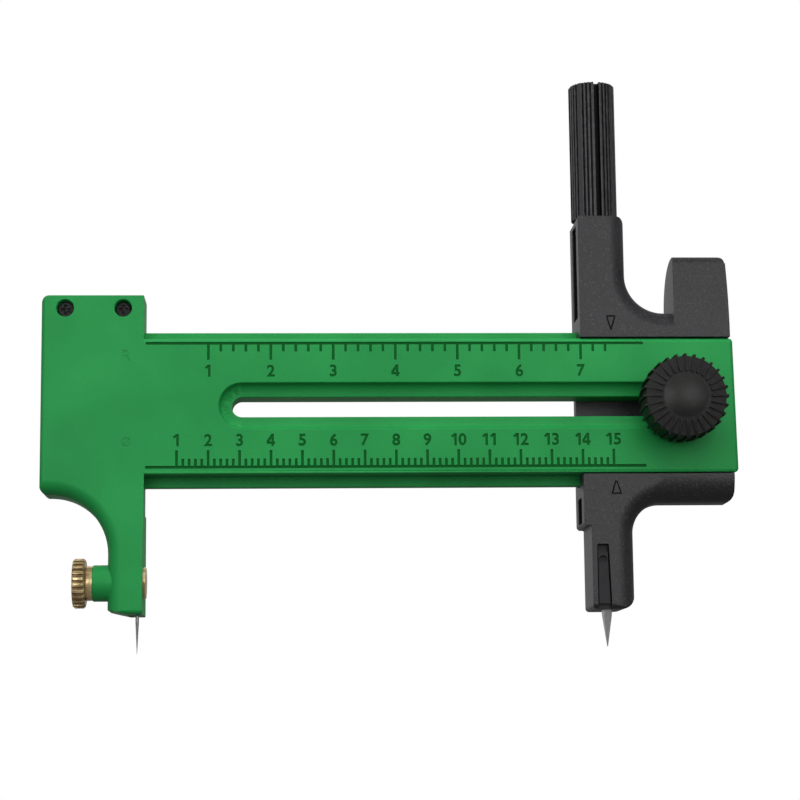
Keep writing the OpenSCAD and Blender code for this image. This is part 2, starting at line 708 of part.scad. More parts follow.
module slide_carriage() {
    left = radius_max - slide_left;
    right = radius_max + slide_right;
    grip_x = radius_max - grip_shift;
    grip_y = front_y + grip_depth;
    arm_top = beam_z + arm_up;
    thumb_top = beam_z + thumb_up;
    slit_y = front_y + slit_depth;
    web_z = beam_z - web_down;
    arm_slit_top = arm_top - slide_corner_r;
    arm_slit_low = rail_top + slit_land;
    leg_slit_top = rail_bottom - slit_land;
    leg_slit_low = beam_z - step_down + slide_corner_r / 2;
    color(charcoal) difference() {
        union() {
            along_y(front_y, back_y) slide_outline();
            along_y(front_y, back_y) corner_patch(radius_max + arm_right, beam_z + thumb_floor, 1, 1, thumb_r);
            along_y(front_y, back_y) corner_patch(radius_max + leg_right, web_z, 1, -1, web_r);
        }
        along_x(left - over, right + over) passage_section();
        // rounded front edges
        front_edge_up(radius_max + arm_right, beam_z + thumb_floor + thumb_r, arm_top + over, -1, arm_round_r);
        front_edge_hollow(radius_max + arm_right + thumb_r, beam_z + thumb_floor + thumb_r, thumb_r, 180, arm_round_r);
        front_edge_across(radius_max + arm_right + thumb_r, radius_max + thumb_left,
                          beam_z + thumb_floor, -1, arm_round_r);
        web_edges(leg_round_r);
        at_back() web_edges(web_back_r);
        front_edge_across(radius_max - leg_left - over, radius_max + leg_right + over, leg_z, 1, toe_round_r);
        // the thumb block's rounded top
        front_edge_across(radius_max + thumb_left - over, right + over, thumb_top, -1, thumb_front_r);
        along_x(radius_max + thumb_left - over, right + over)
            translate([back_y, thumb_top]) scale([-1, -1]) corner_waste(thumb_back_r);
        // cored slits in the left side
        translate([left - over, slit_y - slit_w / 2, arm_slit_low])
            cube([slit_reach + over, slit_w, arm_slit_top - arm_slit_low]);
        translate([left - over, slit_y - slit_w / 2, leg_slit_low])
            cube([slit_reach + over, slit_w, leg_slit_top - leg_slit_low]);
        // the clamp bolt's hole and the pocket that holds its head
        rod_y(clamp_bolt_d + 2 * seat_gap, beam_back_y, back_y, bolt_x, beam_z);
        translate([bolt_x, back_y + over, beam_z]) rotate([90, 0, 0])
            cylinder(d = clamp_head_d + 2 * seat_gap, h = clamp_head_t + clamp_head_sunk + over, $fn = 6);
        // the grip screw's bore and the seat of its head, open to the passage
        translate([grip_x, grip_y, plate_top]) cylinder(d = pivot_d + 2 * pivot_gap, h = arm_up + over);
        translate([grip_x, grip_y, plate_top])
            cylinder(d = pivot_head_d + 2 * run_gap, h = rail_out + 2 * run_gap + pivot_head_t);
        // the blade holder's pocket and the window over its tongue
        pocket();
    }
}

// Front view of the window, or of the tongue in it: a strip that is wider at its lower end
module window_outline(low, high, w) {
    function right_at(z) = w - window_taper * z / window_h;
    polygon([[0, low], [right_at(low), low], [right_at(high), high], [0, high]]);
}

// The pocket in the leg for the blade holder, with the window in front of it
module pocket() {
    x0 = radius_max - holder_left - holder_gap;
    y0 = front_y + holder_front - holder_gap;
    translate([x0, y0, leg_z - over])
        cube([holder_w + 2 * holder_gap, holder_back - holder_front + 2 * holder_gap, holder_h + holder_gap + over]);
    along_y(front_y - over, front_y + holder_front) translate([x0 + holder_gap, leg_z])
        window_outline(-over, window_h, window_w);
}

module clamp_bolt() {
    head_y = back_y - clamp_head_sunk - clamp_head_t;
    tip_y = front_y - washer_t - knob_gap - insert_len + tip_short;
    color(steel) {
        rod_y(clamp_bolt_d, tip_y, head_y + clamp_head_t / 2, bolt_x, beam_z);
        translate([bolt_x, head_y + clamp_head_t, beam_z]) rotate([90, 0, 0])
            cylinder(d = clamp_head_d, h = clamp_head_t, $fn = 6);
    }
}

module knob_washer() {
    color(steel) difference() {
        rod_y(washer_d, front_y - washer_t, front_y - seat_gap, bolt_x, beam_z);
        rod_y(clamp_bolt_d + 2 * seat_gap, front_y - washer_t - over, front_y + over, bolt_x, beam_z);
    }
}

// Half section of the knob, grown outwards by grow, height measured from its base
module knob_section(grow) {
    rim = knob_rim_r + grow;
    top = knob_rim_h + knob_ring_h;
    polygon([[0, 0], [knob_base_r + grow, 0], [rim, knob_rim_h / 2], [rim, knob_rim_h],
             [knob_crown_r, top + grow], [0, top + grow]]);
}

// The dome of the crown is a slice of a ball that rises knob_dome_h over knob_crown_r
module knob_dome() {
    ball_r = (knob_crown_r * knob_crown_r + knob_dome_h * knob_dome_h) / (2 * knob_dome_h);
    top = knob_rim_h + knob_ring_h;
    intersection() {
        translate([0, 0, top + knob_dome_h - ball_r]) sphere(ball_r);
        translate([0, 0, top - knob_dome_h]) cylinder(r = knob_crown_r, h = 3 * knob_dome_h);
    }
}

module knob() {
    color(charcoal) translate([bolt_x, front_y - washer_t - knob_gap, beam_z]) rotate([90, 0, 0]) difference() {
        union() {
            rotate_extrude() knob_section(0);
            knob_dome();
            intersection() {
                rotate_extrude() knob_section(knob_rib_h);
                linear_extrude(knob_rim_h + knob_ring_h + knob_rib_h) difference() {
                    union() for (i = [0 : knob_ribs - 1]) rotate(i * 360 / knob_ribs)
                        translate([0, -knob_rib_w / 2]) square([knob_rim_r + 2 * knob_rib_h, knob_rib_w]);
                    circle(knob_crown_r + knob_rib_start);
                }
            }
        }
        translate([0, 0, -over]) cylinder(d = insert_d + 2 * seat_gap, h = insert_len + over);
    }
}

module knob_insert() {
    base_y = front_y - washer_t - knob_gap;
    color(brass) difference() {
        rod_y(insert_d, base_y - insert_len + seat_gap, base_y, bolt_x, beam_z);
        rod_y(clamp_bolt_d + 2 * thread_gap, base_y - insert_len - over, base_y + over, bolt_x, beam_z);
    }
}

// Plan of the grip: deep slots, the first towards the front, with ribs beside each
module grip_plan() {
    r = grip_d / 2;
    difference() {
        circle(r);
        for (i = [0 : grip_slots - 1]) rotate(i * 360 / grip_slots - 90 + grip_turned) {
            translate([r - grip_slot_depth, -grip_slot_w / 2]) square([grip_slot_depth + over, grip_slot_w]);
            for (side = [-1, 1], j = [1 : slot_grooves]) rotate(side * (j + first_groove_share) * groove_pitch)
                translate([r - groove_depth, -groove_w / 2]) square([groove_depth + over, groove_w]);
        }
    }
}

module grip() {
    x = radius_max - grip_shift;
    y = front_y + grip_depth;
    z = beam_z + arm_up + grip_washer_t + seat_gap;
    r = grip_d / 2;
    color(charcoal) translate([x, y, z]) difference() {
        intersection() {
            linear_extrude(grip_len) grip_plan();
            rotate_extrude() polygon([[0, 0], [r, 0], [r, grip_len - grip_chamfer],
                                      [r - grip_chamfer, grip_len], [0, grip_len]]);
        }
        translate([0, 0, -over]) cylinder(d = pivot_d - 2 * pivot_gap + 2 * seat_gap, h = pivot_in_grip + over);
    }
}

module grip_washer() {
    color(steel) translate([radius_max - grip_shift, front_y + grip_depth, beam_z + arm_up]) difference() {
        cylinder(d = grip_washer_d, h = grip_washer_t);
        translate([0, 0, -over]) cylinder(d = pivot_d + 2 * seat_gap, h = grip_washer_t + 2 * over);
    }
}

module grip_screw() {
    x = radius_max - grip_shift;
    y = front_y + grip_depth;
    head_z = plate_top + rail_out + 2 * run_gap;
    arm_top = beam_z + arm_up;
    color(steel) {
        translate([x, y, head_z]) cylinder(d = pivot_head_d, h = pivot_head_t - seat_gap);
        translate([x, y, head_z]) cylinder(d = pivot_d, h = arm_top + grip_washer_t - head_z);
        translate([x, y, arm_top]) cylinder(d = pivot_d - 2 * pivot_gap, h = grip_washer_t + pivot_in_grip - seat_gap);
    }
}

module blade_holder() {
    x0 = radius_max - holder_left;
    y0 = front_y + holder_front;
    tongue_y = front_y + tongue_sunk;
    color(charcoal) difference() {
        union() {
            translate([x0, y0, leg_z]) cube([holder_w, holder_back - holder_front, holder_h]);
            along_y(tongue_y, y0 + over) translate([x0 + tongue_gap, leg_z])
                window_outline(tongue_low, tongue_low + tongue_h, window_w - 2 * tongue_gap);
        }
        // the nail mark that the tongue is pressed at
        translate([x0 + window_w / 2 - tongue_gap, tongue_y + nail_depth / 2, leg_z + tongue_low + tongue_h - nail_d])
            rotate([90 - nail_tilt, 0, 0]) cylinder(d = nail_d, h = nail_d);
        // the blade's seat and the hole for its peg
        translate([radius_max - blade_w / 2 - seat_gap, -blade_depth / 2 - seat_gap, leg_z - over])
            cube([blade_w + 2 * seat_gap, blade_depth + 2 * seat_gap, blade_z + blade_len - leg_z + seat_gap + over]);
        rod_x(peg_d + 2 * seat_gap, x0 - over, x0 + peg_len + seat_gap, 0, peg_z);
    }
}

// Front view of the blade
module blade_front() {
    w = blade_w / 2;
    polygon([[-blade_tip / 2, 0], [blade_tip / 2, 0], [w, blade_point], [w, blade_len],
             [-w, blade_len], [-w, blade_point]]);
}

// Plan of the blade's bar, bevelled along its four edges
module blade_plan() {
    w = blade_w / 2;
    d = blade_depth / 2;
    b = blade_bevel;
    polygon([[b - w, -d], [w - b, -d], [w, b - d], [w, d - b], [w - b, d], [b - w, d], [-w, d - b], [-w, b - d]]);
}

module blade() {
    d = blade_depth / 2;
    color(steel) difference() {
        intersection() {
            translate([radius_max, 0, blade_z]) along_y(-d, d) blade_front();
            translate([radius_max, 0, blade_z]) linear_extrude(blade_len) blade_plan();
            along_x(radius_max - blade_w, radius_max + blade_w) translate([0, blade_z])
                polygon([[-blade_tip / 2, 0], [blade_tip / 2, 0], [d, blade_point], [d, blade_len],
                         [-d, blade_len], [-d, blade_point]]);
        }
        rod_x(peg_d + 2 * seat_gap, radius_max - blade_w, radius_max + blade_w, 0, peg_z);
    }
}

module blade_peg() {
    x0 = radius_max - holder_left;
    color(steel) rod_x(peg_d, x0, x0 + peg_len, 0, peg_z);
}

beam_body();
head_cover();
cover_screws();
pivot_needle();
needle_bolt();
clamp_bush();
clamp_nut();
slide_carriage();
clamp_bolt();
knob_washer();
knob();
knob_insert();
grip();
grip_washer();
grip_screw();
blade_holder();
blade();
blade_peg();
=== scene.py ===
"""Compass cutter: a green scale beam with a pivot needle and a black blade carriage."""

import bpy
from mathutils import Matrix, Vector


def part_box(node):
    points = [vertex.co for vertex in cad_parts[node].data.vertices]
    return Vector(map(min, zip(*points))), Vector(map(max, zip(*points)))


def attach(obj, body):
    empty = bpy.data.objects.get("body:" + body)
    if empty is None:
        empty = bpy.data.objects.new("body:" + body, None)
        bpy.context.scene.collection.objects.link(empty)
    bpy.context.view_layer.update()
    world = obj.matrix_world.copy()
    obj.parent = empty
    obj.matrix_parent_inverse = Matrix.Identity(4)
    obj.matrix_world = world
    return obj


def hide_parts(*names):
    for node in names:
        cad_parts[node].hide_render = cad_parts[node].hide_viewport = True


bl_info = {
    "name": "Compass Cutter",
    "version": (1, 0, 0),
    "blender": (4, 5, 0),
    "location": "View3D > Sidebar > Cutter",
    "description": "Dresses the compass cutter with rounded edges, engraved scales and finishes",
    "category": "Object",
}

from math import radians

import bmesh
import bpy
from bpy.props import FloatProperty, FloatVectorProperty, PointerProperty
from bpy.types import Operator, Panel, PropertyGroup
from mathutils import Matrix, Vector

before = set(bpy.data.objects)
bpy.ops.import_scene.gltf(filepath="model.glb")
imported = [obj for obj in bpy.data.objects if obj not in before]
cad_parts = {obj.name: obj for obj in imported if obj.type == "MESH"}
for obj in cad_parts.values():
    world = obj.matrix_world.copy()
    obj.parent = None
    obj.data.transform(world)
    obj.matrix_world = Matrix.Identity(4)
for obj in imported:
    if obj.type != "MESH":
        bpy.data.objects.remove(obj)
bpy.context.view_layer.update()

MM = 0.001

BEAM_LOW, BEAM_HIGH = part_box("beam_body")
BUSH_LOW, BUSH_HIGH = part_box("clamp_bush")
NUT_LOW, NUT_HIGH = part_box("clamp_nut")
CARRIAGE_LOW, CARRIAGE_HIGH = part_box("slide_carriage")
KNOB_LOW, KNOB_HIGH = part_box("knob")
GRIP_LOW, GRIP_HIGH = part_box("grip")

# The front face of beam and carriage
FRONT_Y = BEAM_LOW.y
# The axes of the needle clamp, which runs along X, of the clamp knob and of the grip
CLAMP_CENTRE = Vector((0, 0, (BUSH_LOW.z + BUSH_HIGH.z) / 2))
KNOB_CENTRE = (KNOB_LOW + KNOB_HIGH) / 2
GRIP_CENTRE = (GRIP_LOW + GRIP_HIGH) / 2


# -------- sizes and colours


def length(label, about, millimetres):
    """A length property, its default given in millimetres."""
    return FloatProperty(name=label, description=about, default=millimetres * MM, min=0,
                         unit="LENGTH")


def colour(label, about, value):
    """A colour property."""
    return FloatVectorProperty(name=label, description=about, default=value, size=3, min=0, max=1,
                               subtype="COLOR")


class ScaleSizes(PropertyGroup):
    """Sizes of the engraved scale on the beam."""

    zero_x: length("Zero", "Place of the scale's zero along the beam", 1.25)
    radius_line_z: length("Radius line", "Height of the line that the radius ticks hang from",
                          49.32)
    diameter_line_z: length("Diameter line",
                            "Height of the line that the diameter ticks stand on", 29.32)
    line_end: length("Line end", "Length of the two lines from the scale's zero", 80.2)
    line_w: length("Line width", "Width of the two lines at the surface", 0.46)
    tick_w: length("Tick width", "Width of a tick at the surface", 0.44)
    cut_depth: length("Cut depth", "Depth of ticks and numbers", 0.14)
    long_tick: length("Long tick", "Length of a tick that has a number", 2.7)
    short_tick: length("Short tick", "Length of a tick without a number", 1.35)
    digit_h: length("Digit height", "Height of a number", 1.96)
    digit_pitch: length("Digit pitch", "Distance between the two digits of a number", 1.28)
    stroke_w: length("Stroke width", "Width of a number's stroke at the surface", 0.4)
    radius_digit_z: length("Radius numbers", "Height of the middle of the radius numbers", 44.85)
    diameter_digit_z: length("Diameter numbers", "Height of the middle of the diameter numbers",
                             33.65)


class EdgeSizes(PropertyGroup):
    """Rounding that the moulds and tools leave on the edges."""

    moulding: length("Mouldings", "Rounding of the mouldings' edges", 0.16)
    fine: length("Fine edges", "Rounding of the edges of knob, grip, holder and screws", 0.06)
    metal: length("Metal", "Rounding of the edges of turned metal", 0.07)


class Colours(PropertyGroup):
    """Colours of the finishes."""

    green: colour("Green", "Green moulding", (0.0165, 0.27, 0.062))
    green_deep: colour("Deep green", "Green moulding where it is darker", (0.0125, 0.225, 0.05))
    # Painted shade: the walls and floors of the scale's cuts take a darker green, as if shaded
    green_cut: colour("Green shade in cuts", "Green painted darker as shade in the scale's cuts", (0.002, 0.09, 0.014))
    charcoal: colour("Charcoal", "Carriage moulding", (0.0098, 0.0096, 0.0115))
    charcoal_speck: colour("Charcoal speck", "Light specks in the carriage moulding",
                           (0.06, 0.061, 0.064))
    knob_black: colour("Knob black", "Clamp knob", (0.012, 0.0115, 0.011))
    brass: colour("Brass", "Nut, bush and draw bolt", (0.9, 0.7, 0.38))
    brass_dark: colour("Dark brass", "Tarnish in the brass", (0.3, 0.2, 0.085))
    steel: colour("Steel", "Needle, blade and bolts", (0.47, 0.47, 0.48))
    black_steel: colour("Black steel", "Cover screws", (0.014, 0.014, 0.015))
    floor: colour("Floor", "Floor of the studio", (0.86, 0.86, 0.86))


class StageSizes(PropertyGroup):
    """Sizes of the studio."""

    floor_w: length("Floor", "Width of the floor", 3000)
    lamp_w: length("Lamps", "Width of the back lamp, of which the others take a share", 320)


# -------- modelling helpers

# Vertices nearer than this are a seam of the CAD's mesh
SEAM = 0.001 * MM
# Angles in degrees: faces that meet at less are one flat face, edges above the next are rounded,
# and edges above the last stay sharp in the shading
FLAT_BELOW, ROUND_ABOVE, SHARP_ABOVE = 0.5, 30, 40


def make_only(*objects):
    """Selects these objects alone and makes the first one active."""
    bpy.ops.object.select_all(action="DESELECT")
    for obj in objects:
        obj.select_set(True)
    bpy.context.view_layer.objects.active = objects[0]


def settle(piece, modifier):
    """Applies a modifier that was just added to the piece."""
    make_only(piece)
    bpy.ops.object.modifier_apply(modifier=modifier.name)


def open_mesh(piece, action="SELECT"):
    """Opens a piece's mesh for editing, with all or nothing selected."""
    make_only(piece)
    bpy.ops.object.mode_set(mode="EDIT")
    bpy.ops.mesh.select_all(action=action)


def merged_copy(node, name):
    """A copy of a CAD node's mesh with its seams merged and its flat faces joined."""
    piece = bpy.data.objects.new(name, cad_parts[node].data.copy())
    piece.data.name = name
    bpy.context.scene.collection.objects.link(piece)
    open_mesh(piece)
    bpy.ops.mesh.remove_doubles(threshold=SEAM)
    bpy.ops.mesh.dissolve_limited(angle_limit=radians(FLAT_BELOW))
    bpy.ops.object.mode_set(mode="OBJECT")
    bpy.ops.mesh.customdata_custom_splitnormals_clear()
    piece.data.materials.clear()
    return piece


def round_edges(piece, width):
    """Rounds the piece's sharper edges."""
    bevel = piece.modifiers.new("Rounded edges", "BEVEL")
    bevel.width = width
    bevel.segments = 2
    bevel.limit_method = "ANGLE"
    bevel.angle_limit = radians(ROUND_ABOVE)
    bevel.use_clamp_overlap = False
    bevel.miter_outer = "MITER_ARC"
    settle(piece, bevel)


def smooth(piece):
    """Smooth shading in which large faces stay flat and the rounded edges take the bend."""
    make_only(piece)
    bpy.ops.object.shade_smooth_by_angle(angle=radians(SHARP_ABOVE))
    weighted = piece.modifiers.new("Flat faces", "WEIGHTED_NORMAL")
    weighted.keep_sharp = True
    settle(piece, weighted)


def carve(piece, cutter):
    """Cuts a closed mesh out of another and removes the cutter."""
    boolean = piece.modifiers.new("Cut", "BOOLEAN")
    boolean.operation = "DIFFERENCE"
    boolean.solver = "EXACT"
    boolean.object = cutter
    settle(piece, boolean)
    bpy.data.objects.remove(cutter)


def give(piece, *materials):
    """Sets the materials of a piece."""
    piece.data.materials.clear()
    for material in materials:
        piece.data.materials.append(material)


def give_nodes(material, *nodes):
    """Sets the material of CAD nodes that stay in view."""
    for node in nodes:
        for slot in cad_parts[node].material_slots:
            slot.material = material


def stand_for(piece, node, body):
    """The piece takes a CAD node's place on its body."""
    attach(piece, body)
    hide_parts(node)


# -------- shader helpers


def add(tree, kind, inputs=None, **settings):
    """Adds a shader node. A socket among the inputs is linked, any other value is set."""
    made = tree.nodes.new(kind)
    for name, value in settings.items():
        setattr(made, name, value)
    for key, value in (inputs or {}).items():
        if isinstance(value, bpy.types.NodeSocket):
            tree.links.new(value, made.inputs[key])
        else:
            made.inputs[key].default_value = value
    return made


def maths(tree, operation, *values):
    """The result of a Math node."""
    return add(tree, "ShaderNodeMath", dict(enumerate(values)), operation=operation).outputs[0]


def vector_maths(tree, operation, *values):
    """The result of a Vector Math node: a number for a product or a length, else a vector."""
    made = add(tree, "ShaderNodeVectorMath", dict(enumerate(values)), operation=operation)
    return made.outputs["Value" if operation in ("DOT_PRODUCT", "LENGTH") else "Vector"]


def mix(tree, factor, first, second):
    """A mix of two colours."""
    inputs = {0: factor, 6: first, 7: second}
    return add(tree, "ShaderNodeMix", inputs, data_type="RGBA").outputs[2]


def ramp(tree, value, low, high, out_low=0.0, out_high=1.0):
    """A value brought from one range to another and held inside it."""
    inputs = {0: value, 1: low, 2: high, 3: out_low, 4: out_high}
    return add(tree, "ShaderNodeMapRange", inputs).outputs[0]


def noise(tree, place, scale, detail, roughness=0.5):
    """A noise texture's value."""
    inputs = {"Vector": place, "Scale": scale, "Detail": detail, "Roughness": roughness}
    return add(tree, "ShaderNodeTexNoise", inputs).outputs["Fac"]


def opaque(rgb):
    """A colour with full alpha."""
    return (*rgb, 1)


def toned(rgb, factor):
    """A colour made lighter or darker."""
    return [part * factor for part in rgb]


def object_place(tree):
    """The place on the piece, in metres."""
    return tree.nodes.new("ShaderNodeTexCoord").outputs["Object"]


def empty_tree(owner):
    """The node tree of a material or a world, emptied."""
    owner.use_nodes = True
    owner.node_tree.nodes.clear()
    return owner.node_tree


def group(name, inputs, outputs):
    """Starts a shader node group. Returns it with its inner input sockets and its output node."""
    tree = bpy.data.node_groups.new(name, "ShaderNodeTree")
    for label, kind, value in inputs:
        socket = tree.interface.new_socket(label, in_out="INPUT", socket_type="NodeSocket" + kind)
        socket.default_value = value
    for label, kind in outputs:
        tree.interface.new_socket(label, in_out="OUTPUT", socket_type="NodeSocket" + kind)
    return tree, tree.nodes.new("NodeGroupInput").outputs, tree.nodes.new("NodeGroupOutput")


def put_out(tree, out, **results):
    """Links the results to the group's output node."""
    for label, result in results.items():
        tree.links.new(result, out.inputs[label])


def use(tree, name, inputs):
    """Places a node group in a material and returns its outputs."""
    return add(tree, "ShaderNodeGroup", inputs, node_tree=bpy.data.node_groups[name]).outputs


# -------- shared effects


def make_grain_group():
    """Fine grain that a spark-eroded mould leaves, with specks where it is coarser."""
    tree, given, out = group(
        "Moulded Grain", [("Grain Scale", "Float", 5000.0), ("Coarse Share", "Float", 0.35)],
        [("Height", "Float"), ("Speck", "Float")])
    place = object_place(tree)
    coarse_scale = maths(tree, "MULTIPLY", given["Grain Scale"], 0.31)
    fine = noise(tree, place, given["Grain Scale"], detail=2.0, roughness=0.6)
    coarse = noise(tree, place, coarse_scale, detail=3.0, roughness=0.7)
    share = maths(tree, "MULTIPLY", coarse, given["Coarse Share"])
    put_out(tree, out, Height=maths(tree, "ADD", fine, share), Speck=ramp(tree, fine, 0.56, 0.72))


def make_drift_group():
    """A slow drift between two tones, as thick and thin walls of one moulding show."""
    tree, given, out = group(
        "Tone Drift", [("Tone", "Color", (0.5, 0.5, 0.5, 1)),
                       ("Deep Tone", "Color", (0.2, 0.2, 0.2, 1)),
                       ("Patch Scale", "Float", 60.0)], [("Colour", "Color")])
    slow = noise(tree, object_place(tree), given["Patch Scale"], detail=2.0)
    drift = mix(tree, ramp(tree, slow, 0.35, 0.65), given["Tone"], given["Deep Tone"])
    put_out(tree, out, Colour=drift)


def make_wear_group():
    """Where edges stand out: lighter where hands and storage scuff them, and lighter as a painted
    highlight along their rounding.
    """
    tree, given, out = group(
        "Edge Wear And Highlight", [("Amount", "Float", 0.5), ("Break Scale", "Float", 900.0)],
        [("Mask", "Float")])
    flat = tree.nodes.new("ShaderNodeNewGeometry").outputs["True Normal"]
    round_over = add(tree, "ShaderNodeBevel", {"Radius": 0.22 * MM}, samples=4).outputs[0]
    worn_and_highlit = ramp(tree, vector_maths(tree, "DOT_PRODUCT", flat, round_over), 0.985, 0.85)
    breaks = noise(tree, object_place(tree), given["Break Scale"], detail=3.0)
    patchy = maths(tree, "MULTIPLY", worn_and_highlit, ramp(tree, breaks, 0.38, 0.6))
    put_out(tree, out, Mask=maths(tree, "MULTIPLY", patchy, given["Amount"]))


def make_streak_group():
    """Fine scratches in one direction, as grinding and drawing leave."""
    tree, given, out = group(
        "Ground Streaks", [("Stretch", "Vector", (1000.0, 1000.0, 60.0))],
        [("Height", "Float"), ("Streak", "Float")])
    scaled = vector_maths(tree, "MULTIPLY", object_place(tree), given["Stretch"])
    lines = noise(tree, scaled, 6.0, detail=4.0, roughness=0.65)
    put_out(tree, out, Height=lines, Streak=ramp(tree, lines, 0.35, 0.65))


def make_turned_group():
    """Rings that a lathe leaves round an axis along X, on faces and on rims alike."""
    tree, given, out = group(
        "Turned Rings",
        [("Centre", "Vector", (0.0, 0.0, 0.0)), ("Ring Scale", "Float", 9000.0)],
        [("Height", "Float"), ("Streak", "Float")])
    offset = vector_maths(tree, "SUBTRACT", object_place(tree), given["Centre"])
    parts = add(tree, "ShaderNodeSeparateXYZ", {0: offset}).outputs
    square = maths(tree, "ADD", maths(tree, "MULTIPLY", parts["Y"], parts["Y"]),
                   maths(tree, "MULTIPLY", parts["Z"], parts["Z"]))
    along = maths(tree, "ADD", maths(tree, "SQRT", square), parts["X"])
    inputs = {"W": maths(tree, "MULTIPLY", along, given["Ring Scale"]), "Scale": 1.0,
              "Detail": 3.0}
    rings = add(tree, "ShaderNodeTexNoise", inputs, noise_dimensions="1D").outputs["Fac"]
    put_out(tree, out, Height=rings, Streak=ramp(tree, rings, 0.35, 0.65))


def make_dust_group():
    """A little dust on what faces up."""
    tree, given, out = group("Dust", [("Amount", "Float", 0.1)], [("Mask", "Float")])
    facing = tree.nodes.new("ShaderNodeNewGeometry").outputs["Normal"]
    up = add(tree, "ShaderNodeSeparateXYZ", {0: facing}).outputs["Z"]
    flecks = noise(tree, object_place(tree), 1800.0, detail=4.0, roughness=0.7)
    lying = maths(tree, "MULTIPLY", ramp(tree, up, 0.2, 0.9), ramp(tree, flecks, 0.5, 0.75))
    put_out(tree, out, Mask=maths(tree, "MULTIPLY", lying, given["Amount"]))


def make_groups():
    """Builds the shader node groups that the materials share."""
    for make in (make_grain_group, make_drift_group, make_wear_group, make_streak_group,
                 make_turned_group, make_dust_group):
        make()


# -------- finishes

# How much darker the deep tone of a black moulding is
BLACK_DEEP = 0.8
PLASTIC_DUST, METAL_DUST = (0.5, 0.5, 0.48), (0.4, 0.4, 0.4)
# Metallic is short of 1, because a trace of grease and oxide scatters some of the light
GROUND_METALLIC, TURNED_METALLIC = 0.85, 0.6
# Depth of scratches and lathe rings, and how strongly each shows
METAL_RELIEF, GROUND_BUMP, TURNED_BUMP = 0.01 * MM, 0.15, 0.2


def begin(name):
    """A new material with an empty node tree that ends in a Principled shader."""
    material = bpy.data.materials.new(name)
    tree = empty_tree(material)
    shader = add(tree, "ShaderNodeBsdfPrincipled")
    add(tree, "ShaderNodeOutputMaterial", {"Surface": shader.outputs[0]})
    return material, tree, shader


def finish_shader(tree, shader, colour_socket, rough, height, bump, depth):
    """Links colour, roughness and bump to the shader."""
    tree.links.new(colour_socket, shader.inputs["Base Color"])
    tree.links.new(rough, shader.inputs["Roughness"])
    relief = add(tree, "ShaderNodeBump", {"Height": height, "Strength": bump, "Distance": depth})
    tree.links.new(relief.outputs[0], shader.inputs["Normal"])


def plastic(name, tone, deep, speck, rough=(0.38, 0.5), grain=5000.0, bump=0.3, bump_depth=0.02,
            speck_share=0.5, wear_and_highlight=0.25, rubbed_highlight_tone=None, dust=0.08, specular=0.4):
    """Moulded plastic: drifting tone, grain, specks, edges lightened by scuffing and as a painted
    highlight, and a trace of dust.
    """
    material, tree, shader = begin(name)
    shader.inputs["Specular IOR Level"].default_value = specular
    grains = use(tree, "Moulded Grain", {"Grain Scale": grain})
    tones = use(tree, "Tone Drift", {"Tone": opaque(tone), "Deep Tone": opaque(deep)})["Colour"]
    specks = mix(tree, maths(tree, "MULTIPLY", grains["Speck"], speck_share), tones, opaque(speck))
    worn_and_highlit = use(tree, "Edge Wear And Highlight", {"Amount": wear_and_highlight})["Mask"]
    # Lighter edges: partly scuffing, partly a painted highlight
    rubbed_highlight_tone = rubbed_highlight_tone or [part * 1.6 + 0.02 for part in tone]
    rubbed_and_highlit = mix(tree, worn_and_highlit, specks, opaque(rubbed_highlight_tone))
    dusty = mix(tree, use(tree, "Dust", {"Amount": dust})["Mask"], rubbed_and_highlit, opaque(PLASTIC_DUST))
    gloss = ramp(tree, grains["Height"], 0.4, 0.9, *rough)
    finish_shader(tree, shader, dusty, gloss, grains["Height"], bump, bump_depth * MM)
    return material


def ground_metal(name, tone, stretch, rough=(0.22, 0.38)):
    """Ground or drawn steel with fine scratches in one direction."""
    material, tree, shader = begin(name)
    shader.inputs["Metallic"].default_value = GROUND_METALLIC
    streaks = use(tree, "Ground Streaks", {"Stretch": stretch})
    shade = mix(tree, streaks["Streak"], opaque(tone), opaque(toned(tone, 0.72)))
    dusty = mix(tree, use(tree, "Dust", {"Amount": 0.05})["Mask"], shade, opaque(METAL_DUST))
    gloss = ramp(tree, streaks["Height"], 0.3, 0.7, *rough)
    finish_shader(tree, shader, dusty, gloss, streaks["Height"], GROUND_BUMP, METAL_RELIEF)
    return material


def turned_metal(name, tone, deep, centre, rough=(0.16, 0.32)):
    """Turned metal with lathe rings, a little tarnish, and edges made brighter by scuffing and as
    a painted highlight.
    """
    material, tree, shader = begin(name)
    shader.inputs["Metallic"].default_value = TURNED_METALLIC
    rings = use(tree, "Turned Rings", {"Centre": centre})
    tarnish = use(tree, "Tone Drift", {"Tone": opaque(tone), "Deep Tone": opaque(deep),
                                       "Patch Scale": 500.0})["Colour"]
    shade = mix(tree, maths(tree, "MULTIPLY", rings["Streak"], 0.35), tarnish, opaque(deep))
    # Brighter edges: partly scuffing, partly a painted highlight
    worn_and_highlit = use(tree, "Edge Wear And Highlight", {"Amount": 0.5})["Mask"]
    bright = mix(tree, worn_and_highlit, shade, opaque([min(1, part) for part in toned(tone, 1.3)]))
    gloss = ramp(tree, rings["Height"], 0.3, 0.7, *rough)
    finish_shader(tree, shader, bright, gloss, rings["Height"], TURNED_BUMP, METAL_RELIEF)
    return material


